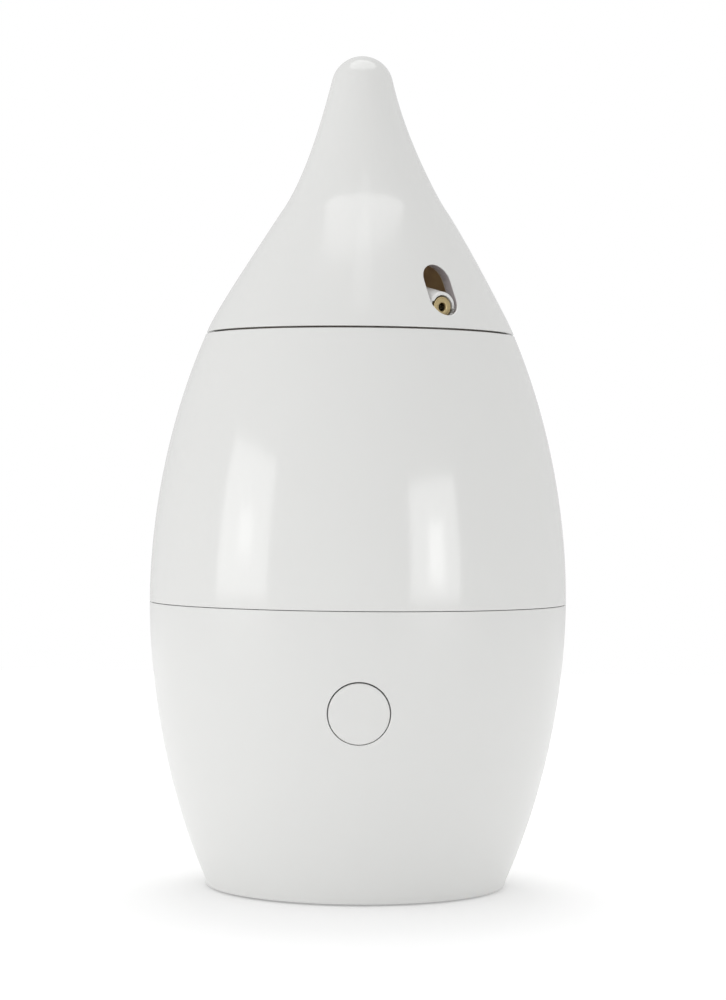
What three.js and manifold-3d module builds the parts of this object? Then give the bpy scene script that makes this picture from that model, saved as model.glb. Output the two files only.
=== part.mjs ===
// Cool mist humidifier that blows water out of a brass jet: a drop-shaped stack of three shells.
// The base holds an air pump and a push button, the tank lifts off the base, and the head, which
// carries the jet, turns on the tank to aim the mist and lifts off it for filling.
// Millimetres, +Z up, origin on the ground under the axis, button towards -Y.
import * as THREE from "three";
import { mergeVertices } from "three/addons/utils/BufferGeometryUtils.js";
import Module from "manifold-3d";

const wasm = await Module();
wasm.setup();

// ---------------------------------------------------------------- driving dimensions

const HEIGHT = 240;
const TIP_RADIUS = 9;
const SHELL_FOOT = [
  [43.2, 0.6],
  [43.3, 1.4],
];
const SHELL_START = [43.95, 3];
const WIDEST = [60.2, 83.09];
const SHOULDER = [44.53, 159.2];
const WAIST = [23.59, 195.44];
const NECK = [8.755, 233.09];

const MID_SEAM = { below: 81.7, above: 82 };
const TOP_SEAM = { below: 158.85, above: 159.55 };

const BASE_WALL = 2.4;
const TANK_WALL = 2.2;
const COVER_WALL = 3.4;
const VESSEL_GAP = 1.2;
const VESSEL_WALL = 1.8;

const GAP = 0.3;
const SEAL_PLAY = 0.2;
const ROUND = 40;
const SMALL_ROUND = 16;

const FOOT_INSIDE = 41.5;
const PLATE = { bottom: 0.7, underside: 1.3, band: 38.5, radius: 41.2, top: 3 };
const FOOT = { radius: 5, edge: 0.4, circle: 33 };

const BUTTON = { radius: 8.4, height: 54.2 };
const DECK = { bottom: 76.3, top: 78.6, radius: 57.2 };
const SPIGOT = { outer: 5.4, root: 3.4, bore: 2.6, top: 92 };
const BARB = { outer: 1.7, bore: 0.9, bottom: 66, top: 71 };
const COLUMN = { radius: 9.6, upperRadius: 8, socket: 6.6, socketTop: 97, bore: 4.4, top: 152 };
const RISER = { outer: 4, bore: 2.4, bottom: 97.4, top: 162 };
const HEAD_PLATE = { bottom: 158.3, top: 161, radius: 39.5 };

// The jet's direction is measured round from the button's side towards +X.
const JET_AZIMUTH = 34;
const JET = {
  height: 165.3,
  start: 10,
  tip: 40,
  tipRadius: 4.2,
  taper: Math.tan((12.6 * Math.PI) / 180),
};
const SLOT = { width: 9.1, bottom: 163.1, top: 177.8 };
const DIP = { reach: 22, outer: 1.7, bore: 1, bottom: 93.5, top: 164.5 };

const PUMP = { x: -24, y: 0 };

// ---------------------------------------------------------------- materials

const plastic = (color, roughness) => ({ color, roughness, metalness: 0 });
const metal = (color, roughness) => ({ color, roughness, metalness: 1 });
const FINISH = {
  glossWhite: plastic("#e6e7e3", 0.22),
  satinWhite: plastic("#e2e3df", 0.38),
  innerWhite: plastic("#dcdcd8", 0.5),
  translucent: plastic("#dfe6e8", 0.3),
  silicone: plastic("#c9c9c4", 0.7),
  rubber: plastic("#2b2b2b", 0.85),
  blackPlastic: plastic("#1c1c1e", 0.45),
  board: plastic("#1d5b35", 0.5),
  foam: plastic("#4a4a4a", 0.95),
  redLead: plastic("#a3201c", 0.5),
  blackLead: plastic("#151515", 0.5),
  brass: metal("#c49a52", 0.3),
  steel: metal("#b9bcc0", 0.35),
  springSteel: metal("#9da0a4", 0.3),
};

// ---------------------------------------------------------------- solids and booleans

function toSolid(geometry) {
  const bare = geometry.clone();
  bare.deleteAttribute("normal");
  bare.deleteAttribute("uv");
  const merged = mergeVertices(bare, 1e-4);
  const triVerts = new Uint32Array(merged.index.array);
  const vertProperties = merged.attributes.position.array;
  return new wasm.Manifold(new wasm.Mesh({ numProp: 3, vertProperties, triVerts }));
}

function toGeometry(solid) {
  const { vertProperties, triVerts } = solid.getMesh();
  const geometry = new THREE.BufferGeometry();
  geometry.setAttribute("position", new THREE.BufferAttribute(vertProperties, 3));
  geometry.setIndex(new THREE.BufferAttribute(triVerts, 1));
  return geometry;
}

function cut(body, ...tools) {
  return toGeometry(tools.reduce((left, tool) => left.subtract(toSolid(tool)), toSolid(body)));
}

function join(first, ...others) {
  return toGeometry(others.reduce((sum, piece) => sum.add(toSolid(piece)), toSolid(first)));
}

function common(first, second) {
  return toGeometry(toSolid(first).intersect(toSolid(second)));
}

// A profile of [radius, height] points turned about Z. It goes anticlockwise, seen with the
// radius to the right and the height up, and it either closes on itself or ends on the axis.
function turned(profile, segments = SMALL_ROUND) {
  const points = profile.map(([radius, height]) => new THREE.Vector2(radius, height));
  return new THREE.LatheGeometry(points, segments).rotateX(Math.PI / 2);
}

function closed(profile) {
  return [...profile, profile[0]];
}

function ring(inner, outer, bottom, top, segments = SMALL_ROUND) {
  const section = [
    [inner, bottom],
    [outer, bottom],
    [outer, top],
    [inner, top],
  ];
  return turned(closed(section), segments);
}

// A round bar along Z from one height to another, which may taper.
function bar(radius, bottom, top, segments = SMALL_ROUND, topRadius = radius) {
  const length = top - bottom;
  return new THREE.CylinderGeometry(topRadius, radius, length, segments)
    .rotateX(Math.PI / 2)
    .translate(0, 0, (bottom + top) / 2);
}

// A round bar along Y between two places on that axis.
function barAlongY(radius, from, to, segments = SMALL_ROUND) {
  return new THREE.CylinderGeometry(radius, radius, to - from, segments).translate(0, (from + to) / 2, 0);
}

// A round bar along X between two places on that axis, which may taper.
function barAlongX(radius, from, to, segments = SMALL_ROUND, endRadius = radius) {
  return new THREE.CylinderGeometry(radius, endRadius, to - from, segments)
    .rotateZ(Math.PI / 2)
    .translate((from + to) / 2, 0, 0);
}

function block([x0, x1], [y0, y1], [z0, z1]) {
  return new THREE.BoxGeometry(x1 - x0, y1 - y0, z1 - z0).translate(
    (x0 + x1) / 2,
    (y0 + y1) / 2,
    (z0 + z1) / 2,
  );
}

// A tube or wire along a smooth route; a bore above 0 makes it hollow.
function routed(points, radius, steps, bore = 0) {
  const route = new THREE.CatmullRomCurve3(points.map((point) => new THREE.Vector3(...point)));
  const section = new THREE.Shape();
  section.absarc(0, 0, radius, 0, 2 * Math.PI, false);
  if (bore > 0) {
    const hole = new THREE.Path();
    hole.absarc(0, 0, bore, 0, 2 * Math.PI, true);
    section.holes.push(hole);
  }
  const curveSegments = bore > 0 ? 4 : 3;
  return new THREE.ExtrudeGeometry(section, { extrudePath: route, steps, curveSegments });
}

function polar(radius, degrees) {
  const angle = THREE.MathUtils.degToRad(degrees);
  return [radius * Math.cos(angle), radius * Math.sin(angle)];
}

// ---------------------------------------------------------------- the outline

function unit(x, y) {
  return new THREE.Vector2(x, y).normalize();
}

// One stretch of the outline, from its end points, end directions and handle lengths.
function stretch(start, startDirection, startHandle, end, endDirection, endHandle) {
  const from = new THREE.Vector2(...start);
  const to = new THREE.Vector2(...end);
  const firstHandle = from.clone().addScaledVector(startDirection, startHandle);
  const lastHandle = to.clone().addScaledVector(endDirection, -endHandle);
  return new THREE.CubicBezierCurve(from, firstHandle, lastHandle, to);
}

const UPRIGHT = unit(0, 1);
const WAIST_SLOPE = unit(-0.72, 1);
const OUTLINE = [
  stretch(SHELL_START, unit(0.43, 1), 31.37, WIDEST, UPRIGHT, 20.97),
  stretch(WIDEST, UPRIGHT, 11.76, SHOULDER, unit(-0.43, 1), 35.95),
  stretch(SHOULDER, unit(-0.3, 1), 5.13, WAIST, WAIST_SLOPE, 4),
  stretch(WAIST, WAIST_SLOPE, 4, NECK, unit(-0.24, 1), 20.44),
];

// The outline's point at a height, moved inwards along the surface's normal by a depth.
function outlineAt(height, depth = 0) {
  const curve = OUTLINE.find((piece) => height <= piece.v3.y) ?? OUTLINE.at(-1);
  let low = 0;
  let high = 1;
  for (let halving = 0; halving < 30; halving += 1) {
    const middle = (low + high) / 2;
    if (curve.getPoint(middle).y < height) low = middle;
    else high = middle;
  }
  const point = curve.getPoint(low);
  const tangent = curve.getTangent(low);
  return [point.x - depth * tangent.y, point.y + depth * tangent.x];
}

// Points up the outline between two heights, at a depth under the surface.
function outline(bottom, top, steps, depth = 0) {
  return Array.from({ length: steps + 1 }, (_, step) =>
    outlineAt(bottom + ((top - bottom) * step) / steps, depth),
  );
}

// The whole drop shape as one solid, at a depth under the surface.
function drop(depth, segments = ROUND) {
  const wall = outline(PLATE.top, NECK[1], 16, depth);
  return turned([[0, wall[0][1]], ...wall, [0, HEIGHT - depth]], segments);
}

// ---------------------------------------------------------------- assembly helpers

const humidifier = new THREE.Group();

function place(name, geometry, finish, position = [0, 0, 0], parent = humidifier) {
  const mesh = new THREE.Mesh(geometry, new THREE.MeshStandardMaterial(finish));
  mesh.name = name;
  mesh.position.set(...position);
  parent.add(mesh);
  return mesh;
}

// A pan-head screw with its head's underside at height 0 and its thread pointing down.
function screw(length, shank = 1.35, head = 2.8, headHeight = 1.8) {
  return turned(
    [
      [0, -length],
      [shank, 1 - length],
      [shank, 0],
      [head, 0],
      [head, headHeight * 0.45],
      [head * 0.6, headHeight],
      [0, headHeight],
    ],
    8,
  );
}

// ---------------------------------------------------------------- base: shell, plate and feet

const LEDGE = { top: 76, thick: 1.5, inner: 54, bottom: 71 };
const BOSS_RIB = 1.4;
const PLATE_BOSS = {
  circle: 36.5,
  radius: 3.6,
  reach: 43,
  bottom: 3.3,
  top: 18,
  bore: 1.75,
  angles: [45, 135, 225, 315],
};
const DECK_BOSS = {
  circle: 50.4,
  radius: 3.6,
  reach: 57,
  bottom: 60,
  top: 76,
  bore: 1.75,
  angles: [90, 210, 330],
};
const JACK = {
  height: 18,
  hole: 4.8,
  nose: 4.3,
  noseEnd: 48.6,
  bore: 2.8,
  boreStart: 38,
  pin: 1,
  pinEnd: 47,
  width: 10,
  back: 33,
  shoulder: 43.8,
};

function boss({ circle, radius, reach, bottom, top }, degrees) {
  const post = bar(radius, bottom, top, 10).translate(circle, 0, 0);
  const rib = block([circle, reach], [-BOSS_RIB, BOSS_RIB], [bottom, top]);
  return join(post, rib).rotateZ(THREE.MathUtils.degToRad(degrees));
}

function bossBore({ circle, bore, bottom, top }, degrees) {
  return bar(bore, bottom - 1, top + 1, 8)
    .translate(circle, 0, 0)
    .rotateZ(THREE.MathUtils.degToRad(degrees));
}

function makeBaseShell() {
  const outside = [...SHELL_FOOT, ...outline(SHELL_START[1], MID_SEAM.below, 7)];
  const inside = [
    [FOOT_INSIDE, SHELL_FOOT[0][1]],
    ...outline(SHELL_START[1], LEDGE.bottom, 4, BASE_WALL),
  ];
  const rim = outlineAt(MID_SEAM.below, BASE_WALL)[0];
  const ledge = [
    [LEDGE.inner, LEDGE.top - LEDGE.thick],
    [LEDGE.inner, LEDGE.top],
    [rim, LEDGE.top],
    [rim, MID_SEAM.below],
  ];
  const wall = turned(closed([...outside, ...[...inside, ...ledge].reverse()]), ROUND);
  const lowBosses = PLATE_BOSS.angles.map((angle) => boss(PLATE_BOSS, angle));
  const highBosses = DECK_BOSS.angles.map((angle) => boss(DECK_BOSS, angle));
  const bores = [
    ...PLATE_BOSS.angles.map((angle) => bossBore(PLATE_BOSS, angle)),
    ...DECK_BOSS.angles.map((angle) => bossBore(DECK_BOSS, angle)),
  ];
  const buttonHole = barAlongY(BUTTON.radius + GAP, -70, -50, 28).translate(0, 0, BUTTON.height);
  const jackHole = barAlongY(JACK.hole, 44, 55, 20).translate(0, 0, JACK.height);
  return cut(join(wall, ...lowBosses, ...highBosses), ...bores, buttonHole, jackHole);
}

place("base_shell", makeBaseShell(), FINISH.satinWhite);

// The inlet slots lie beside the pump, under a pad of filter foam.
const INTAKE = { x: [3, 27], y: [-9, 19], edge: 2, slotWidth: 2.2, slots: 5 };

const HEAD_SINK = { radius: 3.2, top: 1.6 };

// The plate closes the base from below, inside the shell's foot.
function makeBasePlate() {
  const disc = turned(
    [
      [0, PLATE.underside],
      [PLATE.band, PLATE.underside],
      [PLATE.band, PLATE.bottom],
      [PLATE.radius, PLATE.bottom],
      [PLATE.radius, PLATE.top],
      [0, PLATE.top],
    ],
    ROUND,
  );
  const pitch = (INTAKE.y[1] - INTAKE.y[0]) / INTAKE.slots;
  const slots = Array.from({ length: INTAKE.slots }, (_, index) => {
    const middle = INTAKE.y[0] + pitch * (index + 0.5);
    const slot = [middle - INTAKE.slotWidth / 2, middle + INTAKE.slotWidth / 2];
    return block([INTAKE.x[0] + INTAKE.edge, INTAKE.x[1] - INTAKE.edge], slot, [0, PLATE.top + 1]);
  });
  const screwHoles = PLATE_BOSS.angles.map((angle) => bossBore({ ...PLATE_BOSS, bottom: 1 }, angle));
  const headSinks = PLATE_BOSS.angles.map((angle) =>
    bar(HEAD_SINK.radius, 0, HEAD_SINK.top, 14).translate(...polar(PLATE_BOSS.circle, angle), 0),
  );
  return cut(disc, ...slots, ...screwHoles, ...headSinks);
}

place("base_plate", makeBasePlate(), FINISH.satinWhite);

function makeFoot() {
  const { radius, edge } = FOOT;
  return turned([
    [0, 0],
    [radius - edge, 0],
    [radius, edge],
    [radius, PLATE.underside - GAP],
    [0, PLATE.underside - GAP],
  ]);
}

[0, 90, 180, 270].forEach((angle, index) => {
  place(`foot_${index + 1}`, makeFoot(), FINISH.rubber, [...polar(FOOT.circle, angle), 0]);
});

PLATE_BOSS.angles.forEach((angle, index) => {
  const down = screw(9, 1.35, 2.7, 0.9).rotateX(Math.PI);
  const position = [...polar(PLATE_BOSS.circle, angle), HEAD_SINK.top - GAP];
  place(`plate_screw_${index + 1}`, down, FINISH.steel, position);
});

// ---------------------------------------------------------------- base: deck and air spigot

const SPIGOT_GROOVE = { radius: 4.3, bottom: 87, top: 89.4 };
const DECK_RING = { inner: 13, outer: 14.6, top: 82.6 };

function makeBaseDeck() {
  const deck = turned(
    closed([
      [BARB.bore, BARB.bottom],
      [BARB.outer, BARB.bottom],
      [BARB.outer, BARB.top],
      [SPIGOT.root, BARB.top],
      [SPIGOT.root, DECK.bottom],
      [DECK.radius, DECK.bottom],
      [DECK.radius, DECK.top],
      [DECK_RING.outer, DECK.top],
      [DECK_RING.outer, DECK_RING.top],
      [DECK_RING.inner, DECK_RING.top],
      [DECK_RING.inner, DECK.top],
      [SPIGOT.outer, DECK.top],
      [SPIGOT.outer, SPIGOT_GROOVE.bottom],
      [SPIGOT_GROOVE.radius, SPIGOT_GROOVE.bottom],
      [SPIGOT_GROOVE.radius, SPIGOT_GROOVE.top],
      [SPIGOT.outer, SPIGOT_GROOVE.top],
      [SPIGOT.outer, SPIGOT.top - 1],
      [SPIGOT.outer - 1, SPIGOT.top],
      [SPIGOT.bore, SPIGOT.top],
      [SPIGOT.bore, BARB.top + 1],
      [BARB.bore, BARB.top + 1],
    ]),
    28,
  );
  return cut(deck, ...DECK_BOSS.angles.map((angle) => bossBore(DECK_BOSS, angle).translate(0, 0, 4)));
}

place("base_deck", makeBaseDeck(), FINISH.innerWhite);

DECK_BOSS.angles.forEach((angle, index) => {
  const position = [...polar(DECK_BOSS.circle, angle), DECK.top + GAP];
  place(`deck_screw_${index + 1}`, screw(11), FINISH.steel, position);
});

// A ring of round section, for O-rings and gaskets.
function sealRing(inner, outer, bottom, top) {
  const middle = (inner + outer) / 2;
  const half = (outer - inner) / 2;
  const height = (bottom + top) / 2;
  const section = Array.from({ length: 6 }, (_, step) => {
    const [across, up] = polar(1, 60 * step);
    return [middle + half * across, height + ((top - bottom) / 2) * up];
  });
  return turned(closed(section));
}

place(
  "spigot_seal",
  sealRing(
    SPIGOT_GROOVE.radius + SEAL_PLAY,
    COLUMN.socket - SEAL_PLAY,
    SPIGOT_GROOVE.bottom + SEAL_PLAY,
    SPIGOT_GROOVE.top - SEAL_PLAY,
  ),
  FINISH.silicone,
);

// ---------------------------------------------------------------- base: button and switch

const STEM = { radius: 1.8, tip: -47.2 };
const SKIRT = { radius: 7.2, front: -56.5 };
const FLANGE = { radius: 9.6, front: -52.7, back: -51.5 };
const GUIDE = { inner: 10.1, outer: 11.9, front: -52.4, wall: -46.3, back: -45.1, hole: 2.3 };
const SWITCH = { front: -44.8, back: -42.3, half: 3, bore: 1.9, plunger: 1.5, plungerBack: -43.6 };
const COIL = { radius: 3.3, wire: 0.35, clearance: 0.75, turns: 4 };

function makeButton() {
  const face = common(
    barAlongY(BUTTON.radius, -70, -53, 28).translate(0, 0, BUTTON.height),
    cut(drop(0, 80), drop(BASE_WALL, 80)),
  );
  const skirt = barAlongY(SKIRT.radius, SKIRT.front, FLANGE.front + 0.2).translate(0, 0, BUTTON.height);
  const flange = barAlongY(FLANGE.radius, FLANGE.front, FLANGE.back).translate(0, 0, BUTTON.height);
  const stem = barAlongY(STEM.radius, FLANGE.back - 0.2, STEM.tip, 12).translate(0, 0, BUTTON.height);
  return join(face, skirt, flange, stem);
}

place("power_button", makeButton(), FINISH.satinWhite);

function makeButtonGuide() {
  const cup = barAlongY(GUIDE.outer, GUIDE.front, GUIDE.back);
  const inside = barAlongY(GUIDE.inner, GUIDE.front - 1, GUIDE.wall);
  const hole = barAlongY(GUIDE.hole, GUIDE.wall - 1, GUIDE.back + 1, 12);
  return cut(cup, inside, hole).translate(0, 0, BUTTON.height);
}

place("button_guide", makeButtonGuide(), FINISH.innerWhite);

class SpringCoil extends THREE.Curve {
  constructor(radius, from, to, turns) {
    super();
    Object.assign(this, { radius, from, to, turns });
  }

  getPoint(t) {
    const angle = 2 * Math.PI * this.turns * t;
    return new THREE.Vector3(
      this.radius * Math.cos(angle),
      this.from + (this.to - this.from) * t,
      this.radius * Math.sin(angle),
    );
  }
}

function makeSpring() {
  const { radius, wire, clearance, turns } = COIL;
  const coil = new SpringCoil(radius, FLANGE.back + clearance, GUIDE.wall - clearance, turns);
  const section = new THREE.Shape();
  section.absarc(0, 0, wire, 0, 2 * Math.PI, false);
  return new THREE.ExtrudeGeometry(section, { extrudePath: coil, steps: 32, curveSegments: 2 });
}

place("button_spring", makeSpring(), FINISH.springSteel, [0, 0, BUTTON.height]);

function makeSwitch() {
  const { half, front, back, bore } = SWITCH;
  return cut(block([-half, half], [front, back], [-half, half]), barAlongY(bore, front - 1, back + 1, 12));
}

place("tactile_switch", makeSwitch(), FINISH.blackPlastic, [0, 0, BUTTON.height]);
place(
  "switch_plunger",
  barAlongY(SWITCH.plunger, STEM.tip + GAP, SWITCH.plungerBack, 12),
  FINISH.blackPlastic,
  [0, 0, BUTTON.height],
);

// ---------------------------------------------------------------- base: control board

const BOARD = { half: 15, front: -42, back: -40.4, bottom: 36, top: 69 };
const BRACKET = {
  front: -40.1,
  back: -38.1,
  footBack: -28,
  half: 13.5,
  legHalf: 7,
  shoulder: 26,
  thick: 2,
  top: 66,
};
const BOARD_HOLE = { radius: 1.2, front: -44, back: -36 };
const CHIP = { half: 4, bottom: 59.5, top: 64.5, thick: 1.6 };
const CAPACITOR = { radius: 2.6, bottom: 36.4, top: 41.6 };
const BOARD_SCREWS = [
  [-11.5, 40],
  [11.5, 40],
];

const boardHoles = BOARD_SCREWS.map(([x, z]) =>
  barAlongY(BOARD_HOLE.radius, BOARD_HOLE.front, BOARD_HOLE.back, 10).translate(x, 0, z),
);

place(
  "control_board",
  cut(block([-BOARD.half, BOARD.half], [BOARD.front, BOARD.back], [BOARD.bottom, BOARD.top]), ...boardHoles),
  FINISH.board,
);

function makeBracket() {
  const { front, back, footBack, half, legHalf, shoulder, thick, top } = BRACKET;
  const floor = PLATE.top + GAP;
  const upright = block([-half, half], [front, back], [shoulder, top]);
  const leg = block([-legHalf, legHalf], [front, back], [floor, shoulder + thick]);
  const foot = block([-legHalf, legHalf], [front, footBack], [floor, floor + thick]);
  return cut(join(upright, leg, foot), ...boardHoles);
}

place("board_bracket", makeBracket(), FINISH.innerWhite);

BOARD_SCREWS.forEach(([x, z], index) => {
  const facingOut = screw(3.2, 0.85, 1.9, 1.2).rotateX(Math.PI / 2);
  place(`board_screw_${index + 1}`, facingOut, FINISH.steel, [x, BOARD.front - GAP, z]);
});

place(
  "driver_chip",
  block(
    [-CHIP.half, CHIP.half],
    [BOARD.front - GAP - CHIP.thick, BOARD.front - GAP],
    [CHIP.bottom, CHIP.top],
  ),
  FINISH.blackPlastic,
);
place(
  "capacitor",
  bar(CAPACITOR.radius, CAPACITOR.bottom, CAPACITOR.top, 14),
  FINISH.springSteel,
  [0, BOARD.front - GAP - CAPACITOR.radius, 0],
);

// ---------------------------------------------------------------- base: power inlet

function makeJack() {
  const half = JACK.width / 2;
  const body = block([-half, half], [JACK.back, JACK.shoulder], [-half, half]);
  const nose = barAlongY(JACK.nose, JACK.shoulder - 0.3, JACK.noseEnd);
  const bore = barAlongY(JACK.bore, JACK.boreStart, JACK.noseEnd + 1, 16);
  const pin = barAlongY(JACK.pin, JACK.boreStart - 1, JACK.pinEnd, 10);
  return join(cut(join(body, nose), bore), pin).translate(0, 0, JACK.height);
}

place("dc_jack", makeJack(), FINISH.blackPlastic);

// ---------------------------------------------------------------- base: air pump

const PAD_RADIUS = 12.5;
const MOTOR = { radius: 12, bottom: 6.6, capTop: 9.6, dish: 12, top: 34, bore: 1.4 };
const PUMP_BODY = { radius: 13.5, bottom: 34.3, top: 50, chamber: 10.6, floor: 36.5, hole: 3 };
const SHAFT = { radius: 1, bottom: 14, top: 40.5 };
const CRANK = { radius: 6, bottom: 37.4, top: 42, pin: 1.2, pinOffset: 3.2, pinTop: 43.6 };
const DIAPHRAGM = { radius: 13, core: 6, stud: 3, bottom: 45, web: 48.4, bead: 50.3, top: 51.9 };
const VALVE = { radius: 13.5, recess: 10.6, bottom: 52.2, underside: 55, top: 58.4, port: 8.5 };

const pump = new THREE.Group();
pump.position.set(PUMP.x, PUMP.y, 0);
humidifier.add(pump);

function placeInPump(name, geometry, finish) {
  place(name, geometry, finish, [0, 0, 0], pump);
}

placeInPump("pump_pad", bar(PAD_RADIUS, PLATE.top + GAP, MOTOR.bottom - GAP), FINISH.rubber);
placeInPump("motor_end_cap", bar(MOTOR.radius - 0.6, MOTOR.bottom, MOTOR.capTop - GAP), FINISH.blackPlastic);
placeInPump(
  "motor_can",
  turned(
    [
      [0, MOTOR.dish],
      [MOTOR.radius - 1, MOTOR.capTop],
      [MOTOR.radius, MOTOR.capTop + 1],
      [MOTOR.radius, MOTOR.top - 1.5],
      [MOTOR.radius - 1.5, MOTOR.top],
      [MOTOR.bore, MOTOR.top],
      [MOTOR.bore, SHAFT.bottom - 0.6],
      [0, SHAFT.bottom - 0.6],
    ],
  ),
  FINISH.steel,
);
placeInPump("motor_shaft", bar(SHAFT.radius, SHAFT.bottom, SHAFT.top, 12), FINISH.springSteel);

// The crank disc is clamped on the shaft, and its pin sits off the axis.
function makeEccentric() {
  const shaftHole = bar(SHAFT.radius + GAP, CRANK.bottom - 1, SHAFT.top + GAP, 12);
  const disc = cut(bar(CRANK.radius, CRANK.bottom, CRANK.top, 20), shaftHole);
  const pin = bar(CRANK.pin, CRANK.top - 0.2, CRANK.pinTop, 10).translate(CRANK.pinOffset, 0, 0);
  return join(disc, pin);
}

placeInPump("eccentric", makeEccentric(), FINISH.brass);
placeInPump(
  "pump_housing",
  turned(
    closed([
      [PUMP_BODY.hole, PUMP_BODY.bottom],
      [PUMP_BODY.radius, PUMP_BODY.bottom],
      [PUMP_BODY.radius, PUMP_BODY.top],
      [PUMP_BODY.chamber, PUMP_BODY.top],
      [PUMP_BODY.chamber, PUMP_BODY.floor],
      [PUMP_BODY.hole, PUMP_BODY.floor],
    ]),
  ),
  FINISH.blackPlastic,
);
placeInPump(
  "diaphragm",
  turned(
    [
      [0, DIAPHRAGM.bottom],
      [DIAPHRAGM.stud, DIAPHRAGM.bottom],
      [DIAPHRAGM.stud, DIAPHRAGM.web],
      [DIAPHRAGM.core, DIAPHRAGM.web],
      [DIAPHRAGM.core + 1.5, DIAPHRAGM.web - 1],
      [DIAPHRAGM.core + 3, DIAPHRAGM.web + 0.2],
      [PUMP_BODY.chamber - 0.4, DIAPHRAGM.bead],
      [DIAPHRAGM.radius, DIAPHRAGM.bead],
      [DIAPHRAGM.radius, DIAPHRAGM.top],
      [DIAPHRAGM.core + 3, DIAPHRAGM.top],
      [DIAPHRAGM.core + 1.5, DIAPHRAGM.web + 1],
      [DIAPHRAGM.core, DIAPHRAGM.bead],
      [0, DIAPHRAGM.bead],
    ],
  ),
  FINISH.rubber,
);

const OUTLET = { height: 56, tip: 16.6 };

function makeValveCover() {
  const lid = turned(
    [
      [0, VALVE.underside],
      [VALVE.recess, VALVE.underside],
      [VALVE.recess, VALVE.bottom],
      [VALVE.radius, VALVE.bottom],
      [VALVE.radius, VALVE.top - 1],
      [VALVE.radius - 1, VALVE.top],
      [0, VALVE.top],
    ],
  );
  const barb = barAlongX(BARB.outer, VALVE.radius - 1.5, OUTLET.tip, 12).translate(0, 0, OUTLET.height);
  const bore = barAlongX(BARB.bore, VALVE.port - 0.5, OUTLET.tip + 1, 10).translate(0, 0, OUTLET.height);
  const downWay = bar(BARB.bore, VALVE.underside - 1, OUTLET.height, 10).translate(VALVE.port, 0, 0);
  return cut(join(lid, barb), bore, downWay);
}

placeInPump("valve_cover", makeValveCover(), FINISH.blackPlastic);

const CLAMP = { inner: MOTOR.radius + GAP, outer: 14.1, legEnd: 15.2, legHalf: 3.5, bottom: 20, top: 26 };

// A strap round the motor with two legs that stand on the base plate.
function makePumpClamp() {
  const { inner, outer, legEnd, legHalf, bottom, top } = CLAMP;
  const band = ring(inner, outer, bottom, top);
  const legs = [0, Math.PI].map((turn) =>
    block([-legHalf, legHalf], [inner + 0.7, legEnd], [PLATE.top + GAP, top]).rotateZ(turn),
  );
  return join(band, ...legs);
}

placeInPump("pump_clamp", makePumpClamp(), FINISH.innerWhite);

const FILTER_THICKNESS = 3;

place(
  "inlet_filter",
  block(INTAKE.x, INTAKE.y, [PLATE.top + GAP, PLATE.top + FILTER_THICKNESS]),
  FINISH.foam,
);

// The tube runs from the pump's barb round one bend to the barb under the deck.
const AIR_TUBE = { outer: 3, bore: 2 };
const AIR_TUBE_ROUTE = [
  [PUMP.x + 13.8, 0, OUTLET.height],
  [PUMP.x + 17, 0, OUTLET.height],
  [-3.4, 0, 57.5],
  [-0.9, 0, 60.8],
  [0, 0, 64.5],
  [0, 0, 67.5],
  [0, 0, BARB.top - GAP],
];

place("air_tube", routed(AIR_TUBE_ROUTE, AIR_TUBE.outer, 12, AIR_TUBE.bore), FINISH.silicone);

// ---------------------------------------------------------------- base: leads

const LEAD_RADIUS = 0.8;
const LEADS = [
  {
    name: "power_lead_red",
    finish: FINISH.redLead,
    route: [
      [-2, 32.2, 18],
      [5, 26, 14],
      [17, 5, 11],
      [20, -20, 13],
      [15, -37, 20],
      [6, -43.2, 29],
      [5, -43.3, 38],
    ],
  },
  {
    name: "power_lead_black",
    finish: FINISH.blackLead,
    route: [
      [2, 32.2, 18],
      [9, 27, 17],
      [21, 6, 14],
      [23, -18, 20],
      [17, -37, 21],
      [12.5, -43, 26],
      [9, -43.7, 32],
      [8, -43.3, 38],
    ],
  },
  {
    name: "motor_lead_red",
    finish: FINISH.redLead,
    route: [
      [PUMP.x + 11.3, -4.1, 8],
      [-9, -7, 8.6],
      [-8.6, -20, 11],
      [-11, -34, 16],
      [-10, -41.5, 23],
      [-6, -43.4, 31],
      [-5, -43.3, 38],
    ],
  },
  {
    name: "motor_lead_black",
    finish: FINISH.blackLead,
    route: [
      [PUMP.x + 9.2, -7.7, 8],
      [-12, -11, 9],
      [-13, -24, 13],
      [-15.5, -37, 19],
      [-13, -42.6, 26],
      [-9, -43.6, 33],
      [-8, -43.3, 38],
    ],
  },
];

for (const { name, finish, route } of LEADS) {
  place(name, routed(route, LEAD_RADIUS, 12), finish);
}

// ---------------------------------------------------------------- tank

const tank = new THREE.Group();
humidifier.add(tank);

function makeMiddleShell() {
  const outside = outline(MID_SEAM.above, TOP_SEAM.below, 7);
  const inside = outline(MID_SEAM.above, TOP_SEAM.below, 6, TANK_WALL);
  inside[0][1] = MID_SEAM.above;
  inside.at(-1)[1] = TOP_SEAM.below;
  return turned(closed([...outside, ...inside.reverse()]), ROUND);
}

place("middle_shell", makeMiddleShell(), FINISH.glossWhite, [0, 0, 0], tank);

const VESSEL = {
  skirtInner: 54,
  skirtOuter: 56.4,
  skirtBottom: 79.4,
  bottom: 83,
  floor: 85.2,
  floorEdge: 50,
  rim: 156,
};
const NUT = { radius: 7.6, bottom: 152.65, top: 156.55 };
const RIM_GASKET = { inner: 39.6, outer: 41.2 };

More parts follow.
